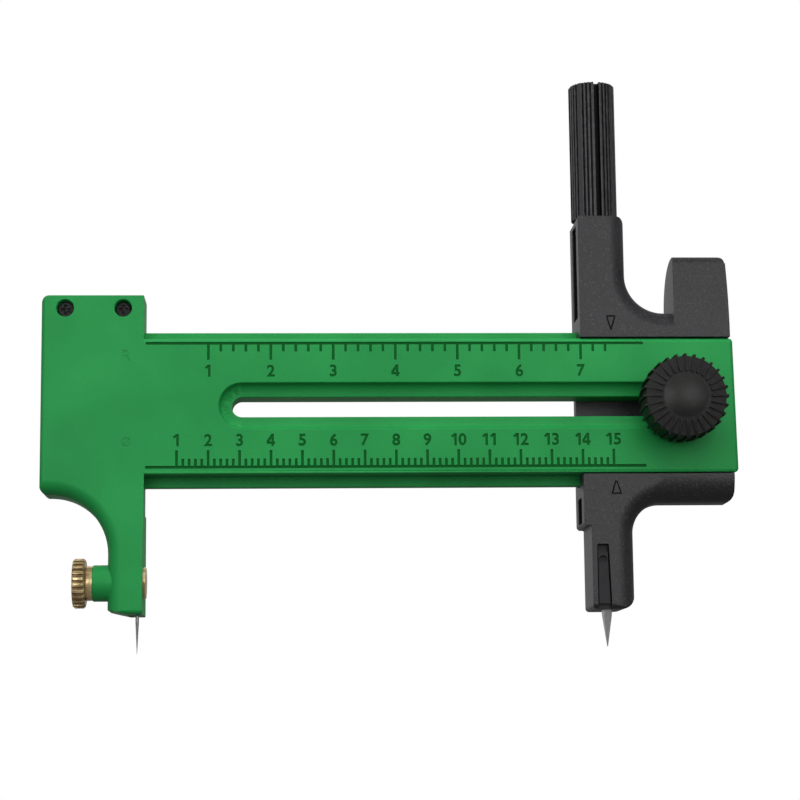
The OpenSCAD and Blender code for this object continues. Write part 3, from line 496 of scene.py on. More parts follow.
def make_materials(colours):
    """Builds every finish of the cutter by name."""
    make_groups()
    charcoals = (colours.charcoal, toned(colours.charcoal, BLACK_DEEP), colours.charcoal_speck)
    blacks = (colours.knob_black, toned(colours.knob_black, BLACK_DEEP), (0.04, 0.038, 0.038))
    # The ribbed ring takes a darker copy of the knob black: painted shade where no sheen falls
    ring_shaded_blacks = (toned(colours.knob_black, 0.6), toned(colours.knob_black, 0.4),
                   (0.03, 0.027, 0.026))
    return {
        "green": plastic(
            "Green moulding", colours.green, colours.green_deep, (0.05, 0.42, 0.14),
            speck_share=0.12, dust=0.02, specular=0.12, rough=(0.4, 0.5)),
        # Painted shade for the walls and floors of the scale's engraved cuts
        "green_cut": plastic(
            "Green shade in cuts", colours.green_cut, colours.green_cut, (0.006, 0.1, 0.02),
            wear_and_highlight=0.0, dust=0.0, specular=0.05),
        # Its edges are lightened, partly as a painted highlight
        "charcoal": plastic(
            "Charcoal moulding", *charcoals, grain=3600.0, bump=1.0, bump_depth=0.055,
            speck_share=0.65, wear_and_highlight=0.5, rubbed_highlight_tone=(0.06, 0.06, 0.064), dust=0.02,
            specular=0.5),
        "holder": plastic(
            "Holder moulding", *charcoals, bump=0.6, speck_share=0.3, wear_and_highlight=0.3,
            rubbed_highlight_tone=(0.05, 0.05, 0.053), dust=0.0, specular=0.25, rough=(0.4, 0.5)),
        # The grip's rib edges are lightened strongly as a painted highlight, with some scuffing
        "grip": plastic(
            "Grip moulding", *charcoals, grain=3400.0, bump=1.0, bump_depth=0.03, wear_and_highlight=0.8,
            rubbed_highlight_tone=(0.11, 0.11, 0.115), dust=0.03, specular=0.6),
        # Near-black painted shade for the carriage's slits and arrow cuts, the sides of the knob's
        # ribs and the grip's grooves
        "charcoal_shade": plastic(
            "Charcoal painted shade", (0.004, 0.004, 0.004), (0.003, 0.003, 0.003),
            (0.01, 0.01, 0.01), wear_and_highlight=0.0, dust=0.0, specular=0.1),
        "knob": plastic(
            "Knob moulding", *blacks, rough=(0.32, 0.42), bump=0.8, bump_depth=0.03,
            speck_share=0.4, dust=0.0, specular=0.27),
        # Painted shade: a darker copy of the knob moulding for its ribbed ring
        "knob_ring_shaded": plastic(
            "Knob ring, painted darker", *ring_shaded_blacks, rough=(0.46, 0.58), grain=3000.0, bump=1.0,
            bump_depth=0.04, dust=0.02, specular=0.25, wear_and_highlight=0.35,
            rubbed_highlight_tone=(0.045, 0.042, 0.042)),
        "brass": turned_metal("Turned brass", colours.brass, colours.brass_dark, CLAMP_CENTRE),
        # Painted shade: the knurl's grooves take a much darker brass
        "brass_groove_shade": turned_metal("Brass shade in grooves", colours.brass_dark,
                                  toned(colours.brass_dark, 0.4), CLAMP_CENTRE, (0.4, 0.55)),
        "steel": ground_metal("Drawn steel", toned(colours.steel, 0.6), (1000.0, 1000.0, 60.0)),
        "blade": ground_metal("Ground blade", toned(colours.steel, 1.3), (80.0, 1200.0, 1200.0)),
        "black_steel": ground_metal("Black steel", colours.black_steel, (900.0, 900.0, 900.0),
                                    (0.3, 0.45)),
    }


# Filled by main() before the operators run
MATERIALS = {}


# -------- scale and marks

# Overrun that carries a cut clear of the surface it leaves
OVER = 0.05 * MM
# How much a cut's walls lean outwards for each unit of depth
WALL_SLOPE = 0.25
# A capital's height in the built-in font for a text of size 1, and what counts as a seam there
CAPITAL_HEIGHT, FONT_SEAM = 0.7, 1e-4
# Height of the built-in font's digits against those of straight strokes, and their extra weight
FONT_DIGIT_SHARE, FONT_DIGIT_BOLD = 0.93, 0.03
# How much deeper the two lines are cut than the ticks
LINE_DEPTH_SHARE = 1.3
# Radius in mm from one number to the next in each row, and of the last tick
RADIUS_STEP, DIAMETER_STEP, LAST_TICK = 10, 5, 75
# The digits that are drawn as straight strokes. Each stroke has its middle across and up and its
# length in digit heights, and its turn from upright in degrees.
STROKES = {
    "1": ((0.08, 0, 1, 0), (-0.08, 0.33, 0.38, 50)),
    "4": ((0.13, 0, 1, 0), (0, -0.23, 0.68, 90), (-0.1, 0.12, 0.72, 34)),
}
MOST_STROKES = 3
# The faint marks of the two rows: sign, middle and height in mm, and the depth of both
ROW_MARKS = (("R", -1.75, 47.3, 1.9), ("\u00d8", -1.75, 33.4, 1.4))
ROW_MARK_DEPTH = 0.09 * MM
# The two arrows, side by side: middle and length in mm and turn in degrees of each stroke
ARROW_SIDES = (((75.95, 52.65, 2.4, -17), (76.15, 25.85, 2.2, 18)),
               ((76.65, 52.65, 2.4, 17), (76.95, 25.85, 2.2, -18)),
               ((76.3, 53.75, 1.5, 90), (76.55, 24.85, 1.6, 90)))
ARROW_WIDTH, ARROW_DEPTH = 0.26 * MM, 0.2 * MM


def add_block(x, z, wide, high, depth, degrees=0):
    """Adds a block to the mesh in edit mode. It cuts wide by high at the front face, and its
    walls lean."""
    span = (OVER + depth) / 2
    middle = Vector((x, FRONT_Y + depth - span, z))
    bpy.ops.mesh.primitive_cube_add(size=2, location=middle, scale=(wide / 2, span, high / 2))
    mesh = bmesh.from_edit_mesh(bpy.context.object.data)
    turn = Matrix.Rotation(radians(degrees), 3, "Y")
    for vertex in mesh.verts:
        if vertex.select:
            side = vertex.co - middle
            lean = WALL_SLOPE * (OVER if side.y < 0 else -depth)
            side.x += lean if side.x > 0 else -lean
            side.z += lean if side.z > 0 else -lean
            vertex.co = middle + turn @ side
            vertex.select = False
    mesh.select_flush(False)
    bmesh.update_edit_mesh(bpy.context.object.data)


def block_cutter(name, blocks):
    """One mesh of many blocks that don't overlap."""
    cutter = bpy.data.objects.new(name, bpy.data.meshes.new(name))
    bpy.context.scene.collection.objects.link(cutter)
    make_only(cutter)
    bpy.ops.object.mode_set(mode="EDIT")
    for block in blocks:
        add_block(*block)
    bpy.ops.object.mode_set(mode="OBJECT")
    return cutter


def finish_cutter(cutter, walls, floors):
    """Gives a cutter's walls and floors their materials."""
    give(cutter, MATERIALS[walls], MATERIALS[floors])
    for face in cutter.data.polygons:
        face.material_index = 1 if face.normal.y > 0.9 else 0
    return cutter


def glyph_cutter(letter, x, z, height, depth, bold=0.0):
    """A letter of the built-in font as a closed mesh, its floor at the depth."""
    bpy.ops.object.select_all(action="DESELECT")
    bpy.ops.object.text_add()
    glyph = bpy.context.object
    glyph.data.body = letter
    glyph.data.resolution_u = 4
    glyph.data.offset = bold
    scale = height / CAPITAL_HEIGHT
    glyph.data.extrude = depth / scale
    bpy.ops.object.convert(target="MESH")
    glyph = bpy.context.object
    open_mesh(glyph)
    bpy.ops.mesh.remove_doubles(threshold=FONT_SEAM)
    bpy.ops.mesh.normals_make_consistent(inside=False)
    bpy.ops.object.mode_set(mode="OBJECT")
    corners = [vertex.co for vertex in glyph.data.vertices]
    middle = [(min(c[i] for c in corners) + max(c[i] for c in corners)) / 2 for i in range(3)]
    glyph.data.transform(Matrix.Translation(-Vector(middle)))
    glyph.data.transform(Matrix.Rotation(radians(90), 4, "X") @ Matrix.Scale(scale, 4))
    glyph.data.transform(Matrix.Translation((x, FRONT_Y, z)))
    return glyph


def number_digits(sizes):
    """Each digit of both rows' numbers, with its place across and up."""
    for step, z in ((RADIUS_STEP, sizes.radius_digit_z), (DIAMETER_STEP, sizes.diameter_digit_z)):
        for number in range(1, LAST_TICK // step + 1):
            letters = str(number)
            for i, letter in enumerate(letters):
                shift = (i - (len(letters) - 1) / 2) * sizes.digit_pitch
                yield letter, sizes.zero_x + number * step * MM + shift, z


def stroke_cutter(sizes, turn):
    """One stroke, by its turn in the list, of each digit that is drawn with straight strokes."""
    high = sizes.digit_h
    return block_cutter("Strokes", [
        (x + across * high, z + up * high, sizes.stroke_w, reach * high, sizes.cut_depth, lean)
        for letter, x, z in number_digits(sizes)
        for across, up, reach, lean in STROKES.get(letter, ())[turn:turn + 1]])


def digit_cutter(sizes):
    """The other digits, in the built-in font and in one cutter."""
    glyphs = [glyph_cutter(letter, x, z, sizes.digit_h * FONT_DIGIT_SHARE, sizes.cut_depth,
                           FONT_DIGIT_BOLD)
              for letter, x, z in number_digits(sizes) if letter not in STROKES]
    make_only(*glyphs)
    bpy.ops.object.join()
    return glyphs[0]


def line_cutter(sizes):
    """The two lines that the ticks meet."""
    return block_cutter("Scale lines", [
        (sizes.zero_x + sizes.line_end / 2, z, sizes.line_end, sizes.line_w,
         sizes.cut_depth * LINE_DEPTH_SHARE)
        for z in (sizes.radius_line_z, sizes.diameter_line_z)])


def tick_cutter(sizes):
    """The ticks of both rows: every 2 mm of radius above, every 1 mm of radius below."""
    blocks = []
    for line_z, side, numbered, step in ((sizes.radius_line_z, -1, RADIUS_STEP, 2),
                                         (sizes.diameter_line_z, 1, DIAMETER_STEP, 1)):
        for radius in range(numbered, LAST_TICK + 1, step):
            reach = sizes.long_tick if radius % numbered == 0 else sizes.short_tick
            blocks.append((sizes.zero_x + radius * MM, line_z + side * reach / 2, sizes.tick_w,
                           reach, sizes.cut_depth))
    return block_cutter("Scale ticks", blocks)


def engrave_scale(beam, sizes):
    """Cuts lines, ticks, numbers and the two faint row marks into the beam's front."""
    strokes = [stroke_cutter(sizes, turn) for turn in range(MOST_STROKES)]
    for cutter in (line_cutter(sizes), tick_cutter(sizes), *strokes, digit_cutter(sizes)):
        # The cuts' walls and floors take a darker green as painted shade
        carve(beam, finish_cutter(cutter, "green_cut", "green_cut"))
    for letter, across, up, high in ROW_MARKS:
        mark = glyph_cutter(letter, across * MM, up * MM, high * MM, ROW_MARK_DEPTH)
        # The faint marks get the painted shade on their walls only
        carve(beam, finish_cutter(mark, "green_cut", "green"))


def engrave_arrows(carriage):
    """Cuts the outlines of the two arrows that point at the scales into the carriage's front."""
    for sides in ARROW_SIDES:
        strokes = [(x * MM, z * MM, ARROW_WIDTH, reach * MM, ARROW_DEPTH, lean)
                   for x, z, reach, lean in sides]
        cutter = block_cutter("Arrows", strokes)
        # The arrows' cut walls and floors are painted near black as shade
        carve(carriage, finish_cutter(cutter, "charcoal_shade", "charcoal_shade"))


# -------- small shapes

# How near a vertex has to be to count as being at a place of the CAD: across, and in depth
NEAR, NEAR_IN_DEPTH = 0.05 * MM, 0.01 * MM

# The slot's two ends along the beam, in metres, and its height
SLOT_START, SLOT_END, SLOT_Z = 0.0166, KNOB_CENTRE.x, KNOB_CENTRE.z
# The flare of the slot's mouth in the CAD, in mm: half height at the front face and at the slot,
# and depth
FLARE_WIDE, FLARE_NARROW, FLARE_DEPTH = 3.8, 1.6, 2.8
# The hollow that takes the flare's place: half height and depth in mm, from the front face in
HOLLOW = ((3.72, 0), (3.62, 0.6), (3.5, 1.05), (3.25, 1.4), (2.9, 1.6), (2.3, 1.7), (1.6, 1.75))
# The faces that are the hollow's own, in mm: from and to, away from the slot's axis and in depth
HOLLOW_GAPS, HOLLOW_DEPTHS = (1.65, 3.6), (0.2, 1.76)
# How far past a step of the hollow its normal still counts, in mm
STEP_OVERLAP = 0.1

# The thumb block's right side, in mm: heights between which it is brought out, how far in from
# the carriage's right end it moves, and how far its top comes out
BLOCK_LOW, BLOCK_HIGH, BLOCK_REACH, BLOCK_OUT = 50.15, 63.75, 3.2, 0.42

# The rounding of the web's front, in mm: where it starts in the CAD and here, where it ends, and
# its radius
WEB_OLD_TOP, WEB_NEW_TOP, WEB_FOOT, WEB_RADIUS = 26.7, 27.9, 23.5, 3.2
# What of it is moved, in mm: heights, how far back, from where beside the leg, and the width over
# which the move grows there
WEB_HEIGHTS, WEB_BACK, WEB_BESIDE, WEB_BLEND = (23.4, 26.75), -0.6, 82.4, 1.9

# The beam's right end, in mm: heights between which it leans, how far in it moves, and how far it
# comes out at the top and how much further at the bottom
END_LOW, END_HIGH, END_REACH, END_OUT, END_LEAN = 28.2, 50.2, 1.5, 0.1, 0.35

# The plate's low front edge, in mm: its height, the depth of its chamfer and what is left of it
LOW_EDGE_Z, LOW_EDGE_DEPTH, LOW_EDGE_LEFT = 28.25, 0.6, 0.12

# The cored slits in the carriage's left side, in mm: their reach, the front and back of their
# core, and the front, back, bottom and top that show of each
SLIT_REACH = 1.4
CORE_FRONT, CORE_BACK = -0.6, 2.2
SLITS = ((-1.1, 3.5, 53.95, 69.3), (-0.6, 3.7, 20.3, 24.45))
NEAR_SLIT = 0.02


def slot_axis(place):
    """The nearest point to a place on the line that runs along the middle of the slot."""
    return Vector((min(max(place.x, SLOT_START), SLOT_END), place.y, SLOT_Z))


def on_loop(vertex, radius, depth):
    """Whether a vertex is on the loop round the slot that has this half height and depth."""
    gap = (vertex.co - slot_axis(vertex.co)).length
    return abs(gap - radius) < NEAR and abs(vertex.co.y - FRONT_Y - depth) < NEAR_IN_DEPTH


def hollow_mouth(beam):
    """Turns the even flare of the slot's mouth into a hollow with a ledge."""
    steps = len(HOLLOW) - 1
    open_mesh(beam, "DESELECT")
    bpy.ops.mesh.select_mode(type="EDGE")
    mesh = bmesh.from_edit_mesh(beam.data)
    wide, narrow, deep = FLARE_WIDE * MM, FLARE_NARROW * MM, FLARE_DEPTH * MM
    for edge in mesh.edges:
        first, second = edge.verts
        edge.select = any(on_loop(outer, wide, 0) and on_loop(inner, narrow, deep)
                          for outer, inner in ((first, second), (second, first)))
    bmesh.update_edit_mesh(beam.data)
    bpy.ops.mesh.subdivide(number_cuts=steps - 1)
    mesh = bmesh.from_edit_mesh(beam.data)
    for vertex in mesh.verts:
        for step, (half_height, depth) in enumerate(HOLLOW):
            share = step / steps
            if on_loop(vertex, wide - (wide - narrow) * share, deep * share):
                middle = slot_axis(vertex.co)
                outwards = (vertex.co - middle).normalized()
                vertex.co = middle + outwards * half_height * MM
                vertex.co.y = FRONT_Y + depth * MM
                break
    bmesh.update_edit_mesh(beam.data)
    bpy.ops.object.mode_set(mode="OBJECT")


def hollow_normal(place, middle):
    """Which way the hollow faces at a place on its rounded end."""
    outwards = place - middle
    outwards.y = 0
    gap = outwards.length / MM
    ways = []
    for (wide, shallow), (narrow, deep) in zip(HOLLOW, HOLLOW[1:]):
        if narrow - STEP_OVERLAP < gap < wide + STEP_OVERLAP:
            ways.append(Vector((shallow - deep, narrow - wide)).normalized())
    across, along = sum(ways, Vector((0, 0))).normalized()
    return outwards.normalized() * across + Vector((0, along, 0))


def smooth_mouth_ends(beam):
    """Lets the hollow's two rounded ends catch the light as one even sweep."""
    mesh = beam.data
    normals = [corner.vector.copy() for corner in mesh.corner_normals]
    for face in mesh.polygons:
        centre = face.center
        if SLOT_START < centre.x < SLOT_END:
            continue
        gap = (centre - slot_axis(centre)).length / MM
        depth = (centre.y - FRONT_Y) / MM
        if HOLLOW_GAPS[0] < gap < HOLLOW_GAPS[1] and HOLLOW_DEPTHS[0] < depth < HOLLOW_DEPTHS[1]:
            end = slot_axis(centre)
            for loop in face.loop_indices:
                corner = mesh.vertices[mesh.loops[loop].vertex_index].co
                normals[loop] = hollow_normal(corner, Vector((end.x, corner.y, end.z)))
    mesh.normals_split_custom_set(normals)


def straighten_block(carriage):
    """Brings the thumb block's right side out towards its top, where its mould has less draft."""
    low, high = BLOCK_LOW * MM, BLOCK_HIGH * MM
    for vertex in carriage.data.vertices:
        if vertex.co.z > low and vertex.co.x > CARRIAGE_HIGH.x - BLOCK_REACH * MM:
            share = min(1, ((vertex.co.z - low) / (high - low)) ** 2)
            vertex.co.x += BLOCK_OUT * MM * share


def ease_web(carriage):
    """Lets the rounding of the web's front start just below the plate, blending in beside the
    leg."""
    for vertex in carriage.data.vertices:
        x, y, z = (part / MM for part in vertex.co)
        if x > WEB_BESIDE and y < WEB_BACK and WEB_HEIGHTS[0] < z < WEB_HEIGHTS[1]:
            stretched = WEB_NEW_TOP - (WEB_NEW_TOP - WEB_FOOT) * (WEB_OLD_TOP - z) / WEB_RADIUS
            vertex.co.z += min(1, (x - WEB_BESIDE) / WEB_BLEND) * (stretched - z) * MM


def lean_end(beam):
    """Brings the low corner of the beam's right end out by its draft."""
    low, high = END_LOW * MM, END_HIGH * MM
    for vertex in beam.data.vertices:
        if vertex.co.x > BEAM_HIGH.x - END_REACH * MM:
            share = min(1, max(0, (high - vertex.co.z) / (high - low)))
            vertex.co.x += (END_OUT + END_LEAN * share) * MM


def sharpen_low_edge(beam):
    """Brings the plate's low front edge out to the front face, all but a trace of its chamfer."""
    for vertex in beam.data.vertices:
        at_edge = abs(vertex.co.z - LOW_EDGE_Z * MM) < NEAR
        if at_edge and vertex.co.y < FRONT_Y + LOW_EDGE_DEPTH * MM:
            vertex.co.y = FRONT_Y + LOW_EDGE_LEFT * MM


def at_slit(place, slit):
    """Whether a place is at one of the carriage's slits."""
    front, back, bottom, top = slit
    return (place.x < CARRIAGE_LOW.x + (SLIT_REACH + NEAR_SLIT) * MM
            and front - NEAR_SLIT < place.y / MM < back + NEAR_SLIT
            and bottom - NEAR_SLIT < place.z / MM < top + NEAR_SLIT)


def widen_slits(carriage):
    """Opens the two slits from their core's width to the width that shows."""
    for vertex in carriage.data.vertices:
        for slit in SLITS:
            if at_slit(vertex.co, slit):
                for core, shown in zip((CORE_FRONT, CORE_BACK), slit):
                    if abs(vertex.co.y - core * MM) < NEAR_SLIT * MM:
                        vertex.co.y = shown * MM
                        break


# -------- which faces get painted shade

# Where grooves start and end, in mm in from the rim, and where the inside of the slits starts, in
# mm from the carriage's left side
GRIP_GROOVE, NUT_GROOVE, NUT_GROOVE_END, SLIT_INSIDE = 0.22, 0.12, 0.5, 0.2
# The radius of the knob's dome in mm
DOME_RADIUS = 3.72
# What share of a normal along an axis makes an end face, and round it the side of a rib
END_FACE, RIB_SIDE = 0.5, 0.8


def sort_faces(piece, pick):
    """Gives each face the material that a test picks by its centre and normal."""
    for face in piece.data.polygons:
        face.material_index = int(pick(face.center, face.normal))


def in_grip_groove(centre, normal):
    """Whether a face lies in a groove of the grip."""
    across = Vector((centre.x - GRIP_CENTRE.x, centre.y - GRIP_CENTRE.y)).length
    rim = (GRIP_HIGH.x - GRIP_LOW.x) / 2
    return across < rim - GRIP_GROOVE * MM and abs(normal.z) < END_FACE


def in_nut_groove(centre, normal):
    """Whether a face lies in a groove of the nut's knurl."""
    across = Vector((centre.y, centre.z - CLAMP_CENTRE.z)).length
    rim = (NUT_HIGH.z - NUT_LOW.z) / 2
    in_groove = rim - NUT_GROOVE_END * MM < across < rim - NUT_GROOVE * MM
    return in_groove and abs(normal.x) < END_FACE


def in_slit(centre, normal):
    """Whether a face lies inside one of the slits."""
    inside = centre.x > CARRIAGE_LOW.x + SLIT_INSIDE * MM
    return inside and any(at_slit(centre, slit) for slit in SLITS)


def knob_part(centre, normal):
    """Tells the knob's dome (0), the sides of its ribs (1) and its ribbed ring (2) apart."""
    outwards = Vector((centre.x - KNOB_CENTRE.x, 0, centre.z - KNOB_CENTRE.z))
    if outwards.length < DOME_RADIUS * MM:
        return 0
    round_it = outwards.normalized().cross(Vector((0, 1, 0)))
    return 1 if abs(normal.dot(round_it)) > RIB_SIDE else 2


# -------- pieces


def dress(node, name, body, slot, width, *finishes, pick=None):
    """Rounds a copy of a CAD node, finishes it and puts it in the node's place."""
    piece = merged_copy(node, name)
    round_edges(piece, width)
    give(piece, *(MATERIALS[finish] for finish in finishes))
    if pick:
        sort_faces(piece, pick)
    smooth(piece)
    stand_for(piece, node, body)


class CUTTER_OT_beam(Operator):
    """Shapes and rounds the beam moulding and engraves its two scales."""

    bl_idname = "cutter.beam"
    bl_label = "Beam Moulding"
    bl_options = {"REGISTER", "UNDO"}

    def execute(self, context):
        beam = merged_copy("beam_body", "beam_moulding")
        hollow_mouth(beam)
        sharpen_low_edge(beam)
        lean_end(beam)
        round_edges(beam, context.scene.cutter_edges.moulding)
        give(beam, MATERIALS["green"], MATERIALS["green_cut"])
        engrave_scale(beam, context.scene.cutter_scale)
        smooth(beam)
        smooth_mouth_ends(beam)
        stand_for(beam, "beam_body", "frame")
        return {"FINISHED"}


class CUTTER_OT_cover(Operator):
    """Rounds the head cover and its two screws."""

    bl_idname = "cutter.cover"
    bl_label = "Head Cover"
    bl_options = {"REGISTER", "UNDO"}

    def execute(self, context):
        edges = context.scene.cutter_edges
        dress("head_cover", "back_cover", "frame", "green_plastic", edges.moulding, "green")
        dress("cover_screws", "sunk_screws", "frame", "black_steel", edges.fine, "black_steel")
        return {"FINISHED"}


class CUTTER_OT_needle_clamp(Operator):
    """Dresses the needle, and rounds the knurled nut, the bush and the draw bolt."""

    bl_idname = "cutter.needle_clamp"
    bl_label = "Needle Clamp"
    bl_options = {"REGISTER", "UNDO"}

    def execute(self, context):
        give_nodes(MATERIALS["steel"], "pivot_needle")
        width = context.scene.cutter_edges.metal
        # The nut's knurl grooves are painted dark brass as shade
        dress("clamp_nut", "knurled_nut", "nut", "brass", width, "brass", "brass_groove_shade",
              pick=in_nut_groove)
        dress("clamp_bush", "brass_bush", "frame", "brass", width, "brass")
        dress("needle_bolt", "draw_bolt", "frame", "brass", width, "brass")
        return {"FINISHED"}


class CUTTER_OT_carriage(Operator):
    """Shapes and rounds the blade carriage and engraves its two arrows."""

    bl_idname = "cutter.carriage"
    bl_label = "Blade Carriage"
    bl_options = {"REGISTER", "UNDO"}

    def execute(self, context):
        carriage = merged_copy("slide_carriage", "blade_carriage")
        widen_slits(carriage)
        ease_web(carriage)
        round_edges(carriage, context.scene.cutter_edges.moulding)
        straighten_block(carriage)
        give(carriage, MATERIALS["charcoal"], MATERIALS["charcoal_shade"])
        # The inside of the slits is painted near black as shade
        sort_faces(carriage, in_slit)
        engrave_arrows(carriage)
        smooth(carriage)
        stand_for(carriage, "slide_carriage", "slide")
        return {"FINISHED"}


class CUTTER_OT_knob(Operator):
    """Rounds the ribs of the clamp knob and dresses its insert, washer and bolt."""

    bl_idname = "cutter.knob"
    bl_label = "Clamp Knob"
    bl_options = {"REGISTER", "UNDO"}

    def execute(self, context):
        # The sides of the knob's ribs are painted near black as shade
        dress("knob", "clamp_knob", "knob", "knob_plastic", context.scene.cutter_edges.fine,
              "knob", "charcoal_shade", "knob_ring_shaded", pick=knob_part)
        give_nodes(MATERIALS["brass"], "knob_insert")
        give_nodes(MATERIALS["steel"], "knob_washer", "clamp_bolt")
        return {"FINISHED"}


class CUTTER_OT_grip(Operator):
    """Rounds the fluted grip and dresses its screw and washer."""

    bl_idname = "cutter.grip"
    bl_label = "Turning Grip"
    bl_options = {"REGISTER", "UNDO"}

    def execute(self, context):
        # The grip's grooves are painted near black as shade
        dress("grip", "fluted_grip", "grip", "black_plastic", context.scene.cutter_edges.fine,
              "grip", "charcoal_shade", pick=in_grip_groove)
        give_nodes(MATERIALS["steel"], "grip_screw", "grip_washer")
        return {"FINISHED"}


class CUTTER_OT_blade(Operator):
    """Rounds the blade holder and dresses the blade and its peg."""

    bl_idname = "cutter.blade"
    bl_label = "Blade and Holder"
    bl_options = {"REGISTER", "UNDO"}

    def execute(self, context):
        dress("blade_holder", "latched_holder", "holder", "black_plastic",
              context.scene.cutter_edges.fine, "holder")
        give_nodes(MATERIALS["blade"], "blade")
        give_nodes(MATERIALS["steel"], "blade_peg")
        return {"FINISHED"}


# -------- studio

# The middle of the cutter in mm, and how far below the needle's tip the floor lies
MIDDLE, FLOOR_GAP = (40, 0, 45), 0.05
# What the far floor shows to the camera, and the distances in metres over which it takes over
FAR_FLOOR, NEAR_END, FAR_START = (0.93, 0.93, 0.93), 0.13, 0.4
# The even light from all sides
WORLD_LEVEL = 0.17
# The backdrop that reflections see: dim in front, bright towards this way
BRIGHT_WAY, DIM_FRONT, BRIGHT_SIDE = (-0.9, 0.43, 0.25), 0.4, 0.85
# Its ceiling, and what is left of it below the horizon
BRIGHT_TOP, DIM_BELOW = 0.6, 0.4
# The lamps: name, place and target in mm, share of the stage's lamp width, watts, and whether
# reflections show the lamp
LAMPS = (
    ("Key_lamp", (45, -105, 215), MIDDLE, 0.7, 0.48, False),
    ("Front_lamp", (150, -260, 230), MIDDLE, 0.8, 0.16, False),
    ("Sheen_lamp", (180, -365, 95), MIDDLE, 0.65, 0.36, True),
    ("Left_lamp", (-105, -320, 80), (-5, 0, 15), 0.5, 0.3, True),
    ("Right_lamp", (340, -290, 60), MIDDLE, 0.35, 0.04, True),
    ("Back_lamp", (40, 350, 250), MIDDLE, 1, 1.2, False),
)
# The photograph's camera, as fitted to the beam's marks: place in mm, the ways that its right
# side and its lens point, and its lens, sensor and nearest distance in mm
CAMERA_PLACE = (22.65, -351.9, -13.58)
CAMERA_RIGHT, CAMERA_AHEAD = (0.9985, -0.0536, -0.0106), (0.0546, 0.9869, 0.1519)
CAMERA_LENS, CAMERA_SENSOR, CAMERA_NEAREST = 99, 36, 10


def floor_material(tone):
    """A pale floor with the cutter's shadow, evenly pale further out and clear from below."""
    material = bpy.data.materials.new("Pale floor")
    tree = empty_tree(material)
    pale = add(tree, "ShaderNodeBsdfDiffuse", {"Color": opaque(tone)})
    clear = add(tree, "ShaderNodeBsdfTransparent")
    even = add(tree, "ShaderNodeEmission", {"Color": opaque(FAR_FLOOR), "Strength": 1.0})
    reach = vector_maths(tree, "LENGTH", object_place(tree))
    seen = tree.nodes.new("ShaderNodeLightPath").outputs["Is Camera Ray"]
    far = maths(tree, "MULTIPLY", ramp(tree, reach, NEAR_END, FAR_START), seen)
    spread = add(tree, "ShaderNodeMixShader", {0: far, 1: pale.outputs[0], 2: even.outputs[0]})
    below = tree.nodes.new("ShaderNodeNewGeometry").outputs["Backfacing"]
    both = add(tree, "ShaderNodeMixShader", {0: below, 1: spread.outputs[0], 2: clear.outputs[0]})
    add(tree, "ShaderNodeOutputMaterial", {"Surface": both.outputs[0]})
    return material


def make_floor(width, tone):
    """Lays the floor just below the needle's tip."""
    bpy.ops.object.select_all(action="DESELECT")
    bpy.ops.mesh.primitive_plane_add(size=width, location=(MIDDLE[0] * MM, 0, -FLOOR_GAP * MM))
    floor = bpy.context.object
    floor.name = "Studio_floor"
    give(floor, floor_material(tone))
    floor.visible_shadow = False
    floor.visible_diffuse = False
    floor.visible_glossy = False


def light_world():
    """White to the camera, a backdrop with a dim front in reflections, and a soft even light
    otherwise."""
    world = bpy.data.worlds.new("White studio")
    bpy.context.scene.world = world
    tree = empty_tree(world)
    path = tree.nodes.new("ShaderNodeLightPath").outputs
    way = tree.nodes.new("ShaderNodeTexCoord").outputs["Generated"]
    towards = vector_maths(tree, "DOT_PRODUCT", way, BRIGHT_WAY)
    height = add(tree, "ShaderNodeSeparateXYZ", {0: way}).outputs["Z"]
    sides = ramp(tree, towards, 0.1, 0.6, DIM_FRONT, BRIGHT_SIDE)
    backdrop = maths(tree, "MAXIMUM", sides, ramp(tree, height, 0.5, 0.95, 0.0, BRIGHT_TOP))
    horizon = ramp(tree, height, -0.1, 0.3, DIM_BELOW, 1.0)
    backdrop = maths(tree, "MULTIPLY", backdrop, horizon)
    mirrored = maths(tree, "MAXIMUM", path["Is Glossy Ray"], path["Is Transmission Ray"])
    reflected = maths(tree, "MULTIPLY", mirrored, backdrop)
    shown = maths(tree, "MAXIMUM", path["Is Camera Ray"], reflected)
    strength = maths(tree, "MAXIMUM", shown, WORLD_LEVEL)
    light = add(tree, "ShaderNodeBackground", {"Color": (1, 1, 1, 1), "Strength": strength})
    add(tree, "ShaderNodeOutputWorld", {"Surface": light.outputs[0]})


def area_lamp(name, place, target, width, watts, in_reflections):
    """A square lamp that faces a point, both given in millimetres."""
    place, target = ([part * MM for part in point] for point in (place, target))
    bpy.ops.object.light_add(type="AREA", location=place)
    lamp = bpy.context.object
    lamp.name = name
    lamp.data.size = width
    lamp.data.energy = watts
    lamp.visible_glossy = in_reflections
    lamp.rotation_euler = (Vector(target) - Vector(place)).to_track_quat("-Z", "Y").to_euler()


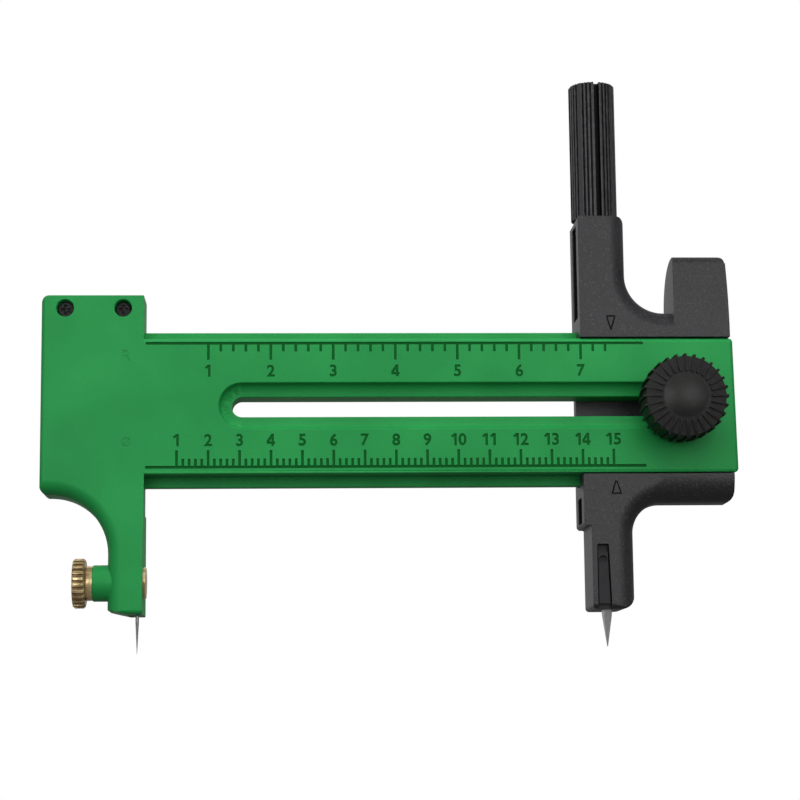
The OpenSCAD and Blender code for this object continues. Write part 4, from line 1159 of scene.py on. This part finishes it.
def make_camera():
    """Stands the photograph's camera where the fit put it."""
    eye = bpy.data.objects.new("Photo_camera", bpy.data.cameras.new("Photo_camera"))
    bpy.context.scene.collection.objects.link(eye)
    right, ahead = Vector(CAMERA_RIGHT).normalized(), Vector(CAMERA_AHEAD).normalized()
    above = right.cross(ahead).normalized()
    right = ahead.cross(above)
    turn = Matrix((right, above, -ahead)).transposed().to_4x4()
    eye.matrix_world = Matrix.Translation(Vector(CAMERA_PLACE) * MM) @ turn
    eye.data.lens = CAMERA_LENS
    eye.data.sensor_width = CAMERA_SENSOR
    eye.data.clip_start = CAMERA_NEAREST * MM
    bpy.context.scene.camera = eye


class CUTTER_OT_stage(Operator):
    """Sets up the floor, the lamps and the photograph's camera."""

    bl_idname = "cutter.stage"
    bl_label = "Studio"
    bl_options = {"REGISTER", "UNDO"}

    def execute(self, context):
        sizes = context.scene.cutter_stage
        make_floor(sizes.floor_w, context.scene.cutter_colours.floor)
        light_world()
        for name, place, target, share, watts, in_reflections in LAMPS:
            area_lamp(name, place, target, share * sizes.lamp_w, watts, in_reflections)
        make_camera()
        context.scene.view_settings.view_transform = "Standard"
        return {"FINISHED"}


STEPS = (CUTTER_OT_beam, CUTTER_OT_cover, CUTTER_OT_needle_clamp, CUTTER_OT_carriage,
         CUTTER_OT_knob, CUTTER_OT_grip, CUTTER_OT_blade, CUTTER_OT_stage)


class CUTTER_PT_pieces(Panel):
    """Lists the steps in the sidebar."""

    bl_idname = "CUTTER_PT_pieces"
    bl_label = "Compass Cutter"
    bl_space_type = "VIEW_3D"
    bl_region_type = "UI"
    bl_category = "Cutter"

    def draw(self, context):
        for step in STEPS:
            self.layout.operator(step.bl_idname)


SETTINGS = {"cutter_scale": ScaleSizes, "cutter_edges": EdgeSizes, "cutter_colours": Colours,
            "cutter_stage": StageSizes}


def register():
    """Registers the settings, the operators and the panel."""
    for name, settings in SETTINGS.items():
        bpy.utils.register_class(settings)
        setattr(bpy.types.Scene, name, PointerProperty(type=settings))
    for step in (*STEPS, CUTTER_PT_pieces):
        bpy.utils.register_class(step)


def unregister():
    """Takes them out again."""
    for step in (CUTTER_PT_pieces, *reversed(STEPS)):
        bpy.utils.unregister_class(step)
    for name, settings in SETTINGS.items():
        delattr(bpy.types.Scene, name)
        bpy.utils.unregister_class(settings)


def main():
    """Makes every piece and the studio."""
    register()
    MATERIALS.update(make_materials(bpy.context.scene.cutter_colours))
    for step in STEPS:
        getattr(bpy.ops.cutter, step.bl_idname.split(".")[1])()


if __name__ == "__main__":
    main()
